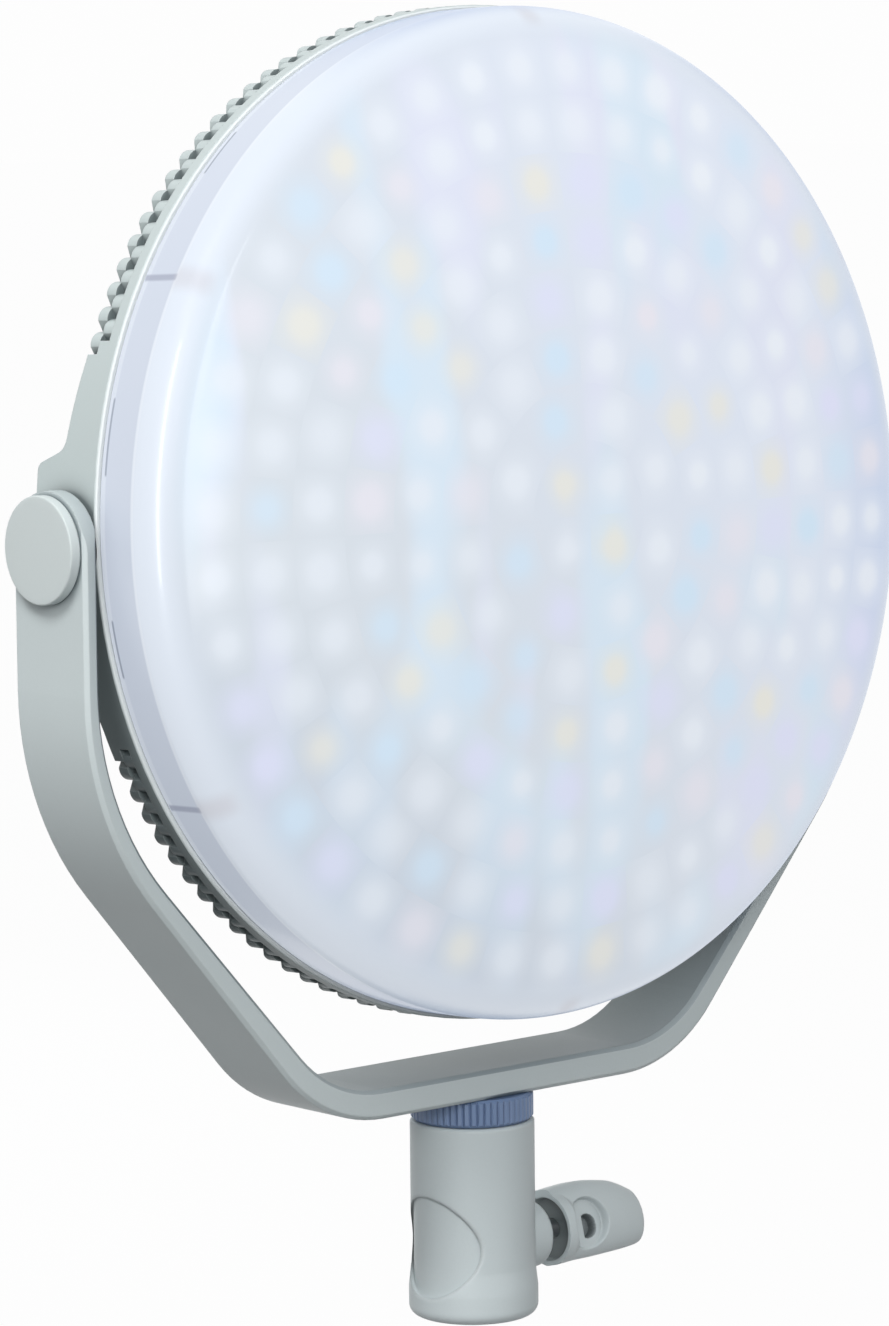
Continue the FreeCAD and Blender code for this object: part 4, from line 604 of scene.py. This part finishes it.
panel = {
    "lift": 0.00004, "ink": 0.00005, "letterScale": 1.35,
    "words": (("INT", 0.052, -0.0295, 0.0034), ("CCT", -0.052, -0.0295, 0.0034), ("MODE", 0.0285, -0.0282, 0.003),
              ("MENU", 0.0095, -0.0282, 0.003), ("FX", -0.0095, -0.0282, 0.003), ("SET", -0.0285, -0.0282, 0.003),
              ("POWER", -0.05, 0.0425, 0.003)),
    "figures": (("80%", 0.0175, 0.0245, 0.0075), ("5600K", -0.0112, 0.0245, 0.0075),
                ("INT", 0.0175, 0.0325, 0.003), ("CCT", -0.0112, 0.0325, 0.003)),
    "figureColour": (176, 220, 255), "figureGlow": 1.3, "figureCloudScale": 60.0, "figureCloud": 0.15,
    "gaugeHeight": 0.0142, "gaugeHalf": 0.0255, "gaugeBars": 24, "gaugeLit": 18, "gaugeBar": (0.0013, 0.0024),
    "dialX": 0.052, "dialZ": -0.006, "ticks": 11, "tickSweep": 280.0, "tickInner": 0.0168, "tickOuter": 0.0188,
    "tickWidth": 0.0005, "pointerWidth": 0.0006, "pointerStart": 0.005, "pointerEnd": 0.0118,
    "rockerX": -0.05, "rockerZ": 0.031, "rockerMark": 0.0047, "rockerBarAcross": (0.0004, 0.0002),
    "rockerBarTall": (0.0019, 0.0017), "rockerCircle": (0.0014, 0.0018), "markSoft": 0.0001,
}
panelFace = intoHead(nodePoints("display_window"))[:, 1].max() + panel["lift"]


# Words become a thin mesh that reads rightly from behind: their own right is the head's -X
def wordMesh(words, x, z, height, depth):
    curve = bpy.data.curves.new("words", "FONT")
    curve.body, curve.size, curve.extrude = words, height * panel["letterScale"], depth / 2
    curve.align_x, curve.align_y = "CENTER", "CENTER"
    holder = bpy.data.objects.new("words", curve)
    mesh = bpy.data.meshes.new_from_object(holder)
    bpy.data.objects.remove(holder)
    bpy.data.curves.remove(curve)
    points = np.empty(len(mesh.vertices) * 3)
    mesh.vertices.foreach_get("co", points)
    points = points.reshape(-1, 3)
    faces = [tuple(polygon.vertices) for polygon in mesh.polygons]
    bpy.data.meshes.remove(mesh)
    return np.stack([x - points[:, 0], panelFace + depth / 2 + points[:, 2], z + points[:, 1]], -1), faces


# Thin bar on the panel about a middle, turned by an angle from upright
def barMesh(x, z, width, length, angle, depth):
    across = np.array([math.cos(angle), -math.sin(angle)]) * width / 2
    along = np.array([math.sin(angle), math.cos(angle)]) * length / 2
    corners = [np.array([x, z]) + a * across + b * along for a, b in ((-1, -1), (1, -1), (1, 1), (-1, 1))]
    points = [(corner[0], panelFace + level, corner[1]) for level in (0.0, depth) for corner in corners]
    faces = [(0, 1, 2, 3), (4, 5, 6, 7), (0, 1, 5, 4), (1, 2, 6, 5), (2, 3, 7, 6), (3, 0, 4, 7)]
    return np.array(points), faces


def joined(name, parts):
    points, faces, start = [], [], 0
    for vertices, sides in parts:
        points.append(vertices)
        faces += [tuple(index + start for index in side) for side in sides]
        start += len(vertices)
    mesh = bpy.data.meshes.new(name)
    mesh.from_pydata(fromHead(np.concatenate(points)).tolist(), [], faces)
    return finishPiece(name, mesh, smooth=False)


def makePanelPrint(p):
    parts = [wordMesh(*word, p["ink"]) for word in p["words"]]
    middle = (p["tickInner"] + p["tickOuter"]) / 2
    length = p["tickOuter"] - p["tickInner"]
    for side in (-1, 1):
        for place in range(p["ticks"]):
            angle = math.radians(p["tickSweep"]) * (place / (p["ticks"] - 1) - 0.5)
            x, z = side * p["dialX"] + middle * math.sin(angle), p["dialZ"] + middle * math.cos(angle)
            parts.append(barMesh(x, z, p["tickWidth"], length, angle, p["ink"]))
    return joined("panel_print", parts)


# The display's figures, with a gauge below them whose first bars are lit
def makeFigures(p):
    parts = [wordMesh(*figure, p["ink"]) for figure in p["figures"]]
    for place in range(p["gaugeLit"]):
        x = p["gaugeHalf"] - 2 * p["gaugeHalf"] * (place + 0.5) / p["gaugeBars"]
        parts.append(barMesh(x, p["gaugeHeight"], *p["gaugeBar"], 0.0, p["ink"]))
    return joined("display_figures", parts)


def makeFigureMaterial(p):
    material, tree, shader = newMaterial("figures", Roughness=0.4, Emission_Strength=p["figureGlow"])
    cloud = noise(tree, objectPlace(tree), p["figureCloudScale"], 2.0)
    tone = mixColour(tree, calc(tree, "MULTIPLY", cloud, p["figureCloud"]), rgb(*p["figureColour"]), (1, 1, 1, 1))
    tree.links.new(tone, shader.inputs["Base Color"])
    tree.links.new(tone, shader.inputs["Emission Color"])
    return material


def pointerMark(side, p):
    def mark(tree, x, y, z):
        soft, foot = p["markSoft"], p["dialZ"]
        fromMiddle = offset(tree, x, side * p["dialX"])
        width = ramp(tree, fromMiddle, p["pointerWidth"] + soft, p["pointerWidth"] - soft)
        length = within(tree, z, foot + p["pointerStart"], foot + p["pointerEnd"], soft)
        return calc(tree, "MULTIPLY", width, length)
    return mark


# A bar at one end of the rocker and a circle at the other
def rockerMark(p):
    def mark(tree, x, y, z):
        across = ramp(tree, offset(tree, x, p["rockerX"] - p["rockerMark"]), *p["rockerBarAcross"])
        tall = ramp(tree, offset(tree, z, p["rockerZ"]), *p["rockerBarTall"])
        apart = apartFrom(tree, calc(tree, "SUBTRACT", x, p["rockerX"] + p["rockerMark"]),
                          calc(tree, "SUBTRACT", z, p["rockerZ"]))
        circle = within(tree, apart, *p["rockerCircle"], p["markSoft"])
        return calc(tree, "MAXIMUM", calc(tree, "MULTIPLY", across, tall), circle)
    return mark


dress(makePanelPrint(panel), "head", "white_plastic", made["print"])
dress(makeFigures(panel), "head", "display_black", makeFigureMaterial(panel))
printColour = finishes["print"]["colour"]
for name, side in (("left_dial", -1), ("right_dial", 1)):
    marked = markedMaterial(name, finishes["blackPlastic"], pointerMark(side, panel), printColour)
    nodes[name].material_slots[0].material = marked
marked = markedMaterial("rocker", finishes["glossBlack"], rockerMark(panel), printColour)
nodes["power_rocker"].material_slots[0].material = marked
print("rear panel marked")


# ---- pivot cap

cap = {
    "radius": 0.0159, "start": 0.1616, "reach": 0.0038, "edge": 0.0005, "crown": 0.0002,
    "groove": 0.0007, "grooveDepth": 0.0007, "wall": 0.0008, "hollow": 0.0088, "steps": 180, "faceSteps": 12,
    "edgeSteps": 6,
}


# Shallow disc closed over the bolt's head: a groove where it meets the arm, a straight side, a small rounded
# edge and a face that rises a little to the middle. Reach is measured outwards from the arm.
def makeCap(c):
    radius, reach, edge = c["radius"], c["reach"], c["edge"]
    face = np.linspace(radius - edge, 0.0, c["faceSteps"])
    bow = reach + c["crown"] * (1 - (face / (radius - edge)) ** 2)
    inner = reach - c["wall"]
    profile = np.concatenate([
        [(0.0, c["hollow"]), (0.0, radius - c["grooveDepth"]), (c["groove"], radius - c["grooveDepth"]),
         (c["groove"], radius)],
        arc((reach - edge, radius - edge), edge, 90, 0, c["edgeSteps"]), np.stack([bow, face], -1)[1:],
        [(inner, 0.0), (inner, c["hollow"])]])
    turn = np.linspace(0, 2 * np.pi, c["steps"], endpoint=False)[:, None]
    out, ring = profile[None, :, 0], profile[None, :, 1]
    x = np.broadcast_to(-c["start"] - out, (c["steps"], len(profile)))
    grid = np.stack([x, ring * np.cos(turn), pivotHeight + ring * np.sin(turn)], -1)
    return gridPiece("pivot_cap", grid, True, True, sharpAngle=35)


dress(makeCap(cap), "yoke", "cap_grey", made["cap"], "left_pivot_cap")
print("pivot cap made")


# ---- clamp wing

wing = {
    "start": 31.0, "cup": 10.0, "cupDepth": 3.0, "bore": 3.05, "boreDepth": 9.0, "hub": 11.6, "hubEnd": 34.6,
    "neck": 5.5, "neckEnd": 46.0, "turn": -15.0, "edge": 1.9, "thick": 8.4, "blend": 0.5,
    "stations": (31.0, 38.0, 44.2, 52.7, 58.6, 62.0, 65.5, 68.0, 70.3), "tipRound": 4.2,
    "above": (12.6, 13.1, 13.3, 12.4, 11.2, 9.8, 8.0, 6.6, 5.4),
    "below": (11.5, 11.2, 11.2, 11.0, 10.8, 10.6, 10.2, 9.6, 8.8),
    "thickShare": (1.0, 1.0, 1.0, 1.0, 0.97, 0.92, 0.84, 0.76, 0.68),
    "scoopX": 42.4, "scoopZ": -0.4, "scoopRadius": 8.2, "scoopHalf": 5.4, "scoopMargin": 0.8,
    "eyeX": 43.6, "eyeZ": -1.4, "eyeRadius": 3.7, "eyeFlat": 1.7, "eyeDepth": 3.6, "eyeMargin": 0.3,
    # Cup lip, then the cup's painted shade: colour, greatest share, ring edges and reach along the axis
    "cupLip": (1.2, 0.35, 0.3), "cupShadeColour": (66, 76, 78), "cupShadeShare": 0.8, "cupShadeRing": (0.0002, -0.0006),
    "cupShadeReach": (6, 1), "rows": 190, "tipRows": 26, "around": 118, "edgeSteps": 8,
}


def smoothShare(value, low, high):
    share = np.clip((value - low) / (high - low), 0, 1)
    return share * share * (3 - 2 * share)


# Smooth curve through given values: a cubic between neighbours, with slopes from the values on both sides
def curveThrough(x, places, values):
    places, values = np.asarray(places), np.asarray(values)
    slopes = np.gradient(values, places)
    first = np.clip(np.searchsorted(places, x) - 1, 0, len(places) - 2)
    step = places[first + 1] - places[first]
    t = (x - places[first]) / step
    rise = t * t * (3 - 2 * t)
    return (values[first] * (1 - rise) + values[first + 1] * rise
            + step * t * (1 - t) * (slopes[first] * (1 - t) - slopes[first + 1] * t))


# Half thickness of the wing at a place along its axis and a height: the larger of a lens section and the
# hub's cone, joined softly; then the round scoop and the D-shaped eye are sunk into it
def wingHalf(w, x, z, above, below, thick):
    middle, half = (above - below) / 2, (above + below) / 2
    edge = w["edge"] * thick / w["thick"]
    lens = edge + (thick - edge) * np.sqrt(np.clip(1 - ((z - middle) / half) ** 2, 0, 1))
    cone = np.interp(x, (w["start"], w["hubEnd"], w["neckEnd"]), (w["hub"], w["hub"], w["neck"]))
    hub = np.sqrt(np.clip(cone ** 2 - z ** 2, 0, None))
    gap = np.clip(w["blend"] - np.abs(lens - hub), 0, None) / w["blend"]
    body = np.maximum(lens, hub) + gap ** 2 * w["blend"] / 4
    body = np.where(x > w["neckEnd"], lens, body)
    apart = np.hypot(x - w["scoopX"], z - w["scoopZ"])
    margin = w["scoopMargin"]
    inScoop = 1 - smoothShare(apart, w["scoopRadius"] - margin, w["scoopRadius"] + margin / 2)
    body = body - inScoop * np.clip(body - w["scoopHalf"], 0, None)
    out, along = x - w["eyeX"], z - w["eyeZ"]
    fromEdge = np.maximum(np.hypot(out, along) - w["eyeRadius"], -w["eyeFlat"] - out)
    return body - w["eyeDepth"] * (1 - smoothShare(fromEdge, -w["eyeMargin"], w["eyeMargin"] / 2))


# Closed tube of sections along the axis: bore, cup, rim, then the outside to the tip. A section runs up the
# front, over the flat top edge, down the back and over the flat lower edge. Lengths here are millimetres.
def makeWing(w):
    turn = np.linspace(-np.pi / 2, np.pi / 2, w["around"])
    flat = np.linspace(1, -1, w["edgeSteps"])[1:-1]
    count = 2 * (len(turn) + len(flat))
    last = w["stations"][-1]
    blunt = last - w["tipRound"]
    ending = np.sin(np.linspace(0, np.pi / 2, w["tipRows"])[1:-1])
    x = np.concatenate([np.linspace(w["start"], blunt, w["rows"]), blunt + w["tipRound"] * ending])[:, None]
    above, below, share = (curveThrough(x, w["stations"], w[name]) for name in ("above", "below", "thickShare"))
    closing = np.sqrt(1 - (np.clip(x - blunt, 0, None) / w["tipRound"]) ** 2)
    middle, tall = (above - below) / 2, (above + below) / 2 * closing
    above, below, share = middle + tall, tall - middle, share * closing
    z = (above - below) / 2 + (above + below) / 2 * np.sin(turn)[None]
    half = wingHalf(w, x, z, above, below, w["thick"] * share)
    edge = half[:, -1:]
    foot = half[:, :1]
    y = np.concatenate([-half, -edge * flat[None], half[:, ::-1], foot * flat[None]], 1)
    z = np.concatenate([z, np.broadcast_to(above, (len(x), len(flat))), z[:, ::-1],
                        np.broadcast_to(-below, (len(x), len(flat)))], 1)
    outside = np.stack([np.broadcast_to(x, y.shape), y, z], -1)
    angle = np.arctan2(z[0], y[0])
    start, bore, ring = w["start"], w["bore"], w["cup"]
    lip, bend, step = w["cupLip"]
    cup, end = start + w["cupDepth"], start + w["boreDepth"]
    rings = [(end, 0.0), (end, bore), (cup, bore), (cup, ring - lip), (cup - bend, ring - bend),
             (cup - lip, ring), (start + step, ring), (start, ring + step)]
    inside = np.array([np.stack([np.full(count, place), ring * np.cos(angle), ring * np.sin(angle)], -1)
                       for place, ring in rings])
    tip = np.broadcast_to([last, 0.0, middle[-1, 0]], (1, count, 3))
    grid = np.concatenate([inside, outside, tip]) / 1000
    lean = math.radians(w["turn"])
    y, z = grid[..., 1].copy(), grid[..., 2].copy()
    grid[..., 1] = y * math.cos(lean) - z * math.sin(lean)
    grid[..., 2] = clampHeight + y * math.sin(lean) + z * math.cos(lean)
    return gridPiece("wing_paddle", grid, closeColumns=True, sharpAngle=40)


# Painted shade in the cup round the screw, which is darkened
def cupShadeMark(w):
    def mark(tree, x, y, z):
        ring, deep = w["cup"] / 1000, w["start"] + w["cupDepth"]
        outer, inner = w["cupShadeRing"]
        far, near = ((deep + reach) / 1000 for reach in w["cupShadeReach"])
        apart = apartFrom(tree, y, calc(tree, "SUBTRACT", z, clampHeight))
        reached = calc(tree, "MULTIPLY", ramp(tree, x, far, near), w["cupShadeShare"])
        return calc(tree, "MULTIPLY", ramp(tree, apart, ring + outer, ring + inner), reached)
    return mark


# The wing's finish, with painted shade in its cup
wingMaterial = markedMaterial("wing", finishes["wing"], cupShadeMark(wing), wing["cupShadeColour"], inHead=False)
dress(makeWing(wing), "clamp_wing", "wing_grey", wingMaterial, "clamp_wing")
print("clamp wing made")


# ---- floor, light and camera

stage = {
    "floorHeight": -0.42, "floorSize": 60.0, "floorColour": (84, 86, 88), "backdrop": 0.985,
    "floorShare": 0.1, "floorGlow": 1.075, "floorRoughness": 0.8, "floorCloudScale": 3.0, "floorCloud": 0.05,
    "skyLevel": 0.18, "skyRise": 0.25, "skyLeft": 0.2, "skyLeast": 0.02,
    "keyPlace": (-2.02, -0.54, 2.74), "keyWidth": 1.1, "keyHeight": 1.1, "keyPower": 54.0,
    "fillPlace": (-1.49, -2.39, 1.28), "fillWidth": 1.0, "fillHeight": 1.2, "fillPower": 40.0,
    "stripPlace": (-2.1, -1.3, 0.8), "stripWidth": 0.32, "stripHeight": 1.9, "stripPower": 20.0,
    "panelPlace": (0.535, -2.52, 0.61), "panelWidth": 0.22, "panelHeight": 1.2, "panelPower": 4.5,
    "backPlace": (0.9, 2.85, 0.45), "backWidth": 1.4, "backHeight": 1.0, "backPower": 34.0,
    "lampAim": (0, 0, 0.25), "streakLamps": ("strip", "panel"), "focal": 143.8, "sensor": 36.0, "clipEnd": 100.0,
    "cameraPlace": (-1.08317, -1.21423, 0.39456),
    "cameraAxes": ((0.74833666, -0.66324254, -0.01007814), (0.08422203, 0.07993526, 0.99323562),
                   (-0.65795052, -0.74412343, 0.11567812)),
}


def makeFloor(s):
    half = s["floorSize"] / 2
    corners = [(x * half, y * half, s["floorHeight"]) for x, y in ((-1, -1), (1, -1), (1, 1), (-1, 1))]
    mesh = bpy.data.meshes.new("floor")
    mesh.from_pydata(corners, [], [(0, 1, 2, 3)])
    floor = bpy.data.objects.new("floor", mesh)
    bpy.context.scene.collection.objects.link(floor)
    material, tree, shader = newMaterial("floorPaper", Roughness=s["floorRoughness"])
    cloud = noise(tree, objectPlace(tree), s["floorCloudScale"], 4.0)
    tone = mixColour(tree, calc(tree, "MULTIPLY", cloud, s["floorCloud"]), rgb(*s["floorColour"]), (1, 1, 1, 1))
    tree.links.new(tone, shader.inputs["Base Color"])
    glow = addNode(tree, "Emission", {"Color": (1, 1, 1, 1), "Strength": s["floorGlow"]})
    share = calc(tree, "MULTIPLY", seenShare(tree), 1.0 - s["floorShare"])
    blend = addNode(tree, "MixShader", {0: share, 1: shader.outputs[0], 2: glow.outputs[0]})
    tree.links.new(blend.outputs[0], tree.nodes["Material Output"].inputs["Surface"])
    mesh.materials.append(material)


# Studio light from all round: a level that rises with the direction's height and towards the left
def makeWorld(s):
    world = bpy.data.worlds.new("studio")
    world.use_nodes = True
    tree = world.node_tree
    background = tree.nodes["Background"]
    background.inputs["Color"].default_value = (1, 1, 1, 1)
    way = addNode(tree, "SeparateXYZ", {0: addNode(tree, "TexCoord").outputs["Generated"]}).outputs
    rise = calc(tree, "ADD", calc(tree, "MULTIPLY", way[2], s["skyRise"]), s["skyLevel"])
    light = calc(tree, "SUBTRACT", rise, calc(tree, "MULTIPLY", way[0], s["skyLeft"]))
    light = calc(tree, "MAXIMUM", light, s["skyLeast"])
    strength = addNode(tree, "Mix", {0: seenShare(tree), 2: light, 3: s["backdrop"]}).outputs[0]
    tree.links.new(strength, background.inputs["Strength"])
    bpy.context.scene.world = world


# The key, the fill and the back light the surfaces; the strip and the panel only show as streaks in the gloss
def makeLamp(s, name):
    data = bpy.data.lights.new(name + "Lamp", "AREA")
    data.shape = "RECTANGLE"
    data.size, data.size_y, data.energy = s[name + "Width"], s[name + "Height"], s[name + "Power"]
    lamp = bpy.data.objects.new(name + "Lamp", data)
    lamp.location = s[name + "Place"]
    aim = Vector(s["lampAim"]) - Vector(s[name + "Place"])
    lamp.rotation_euler = aim.to_track_quat("-Z", "Y").to_euler()
    lamp.visible_glossy = name in s["streakLamps"]
    lamp.visible_diffuse = name not in s["streakLamps"]
    bpy.context.scene.collection.objects.link(lamp)


def makeCamera(s):
    data = bpy.data.cameras.new("camera")
    data.lens, data.sensor_width, data.clip_end = s["focal"], s["sensor"], s["clipEnd"]
    camera = bpy.data.objects.new("camera", data)
    turn = Matrix(s["cameraAxes"]).transposed().to_4x4()
    camera.matrix_world = Matrix.Translation(s["cameraPlace"]) @ turn
    bpy.context.scene.collection.objects.link(camera)
    bpy.context.scene.camera = camera


makeFloor(stage)
makeWorld(stage)
for name in ("key", "fill", "strip", "panel", "back"):
    makeLamp(stage, name)
makeCamera(stage)
bpy.context.scene.view_settings.view_transform = "Standard"
print("stage ready")
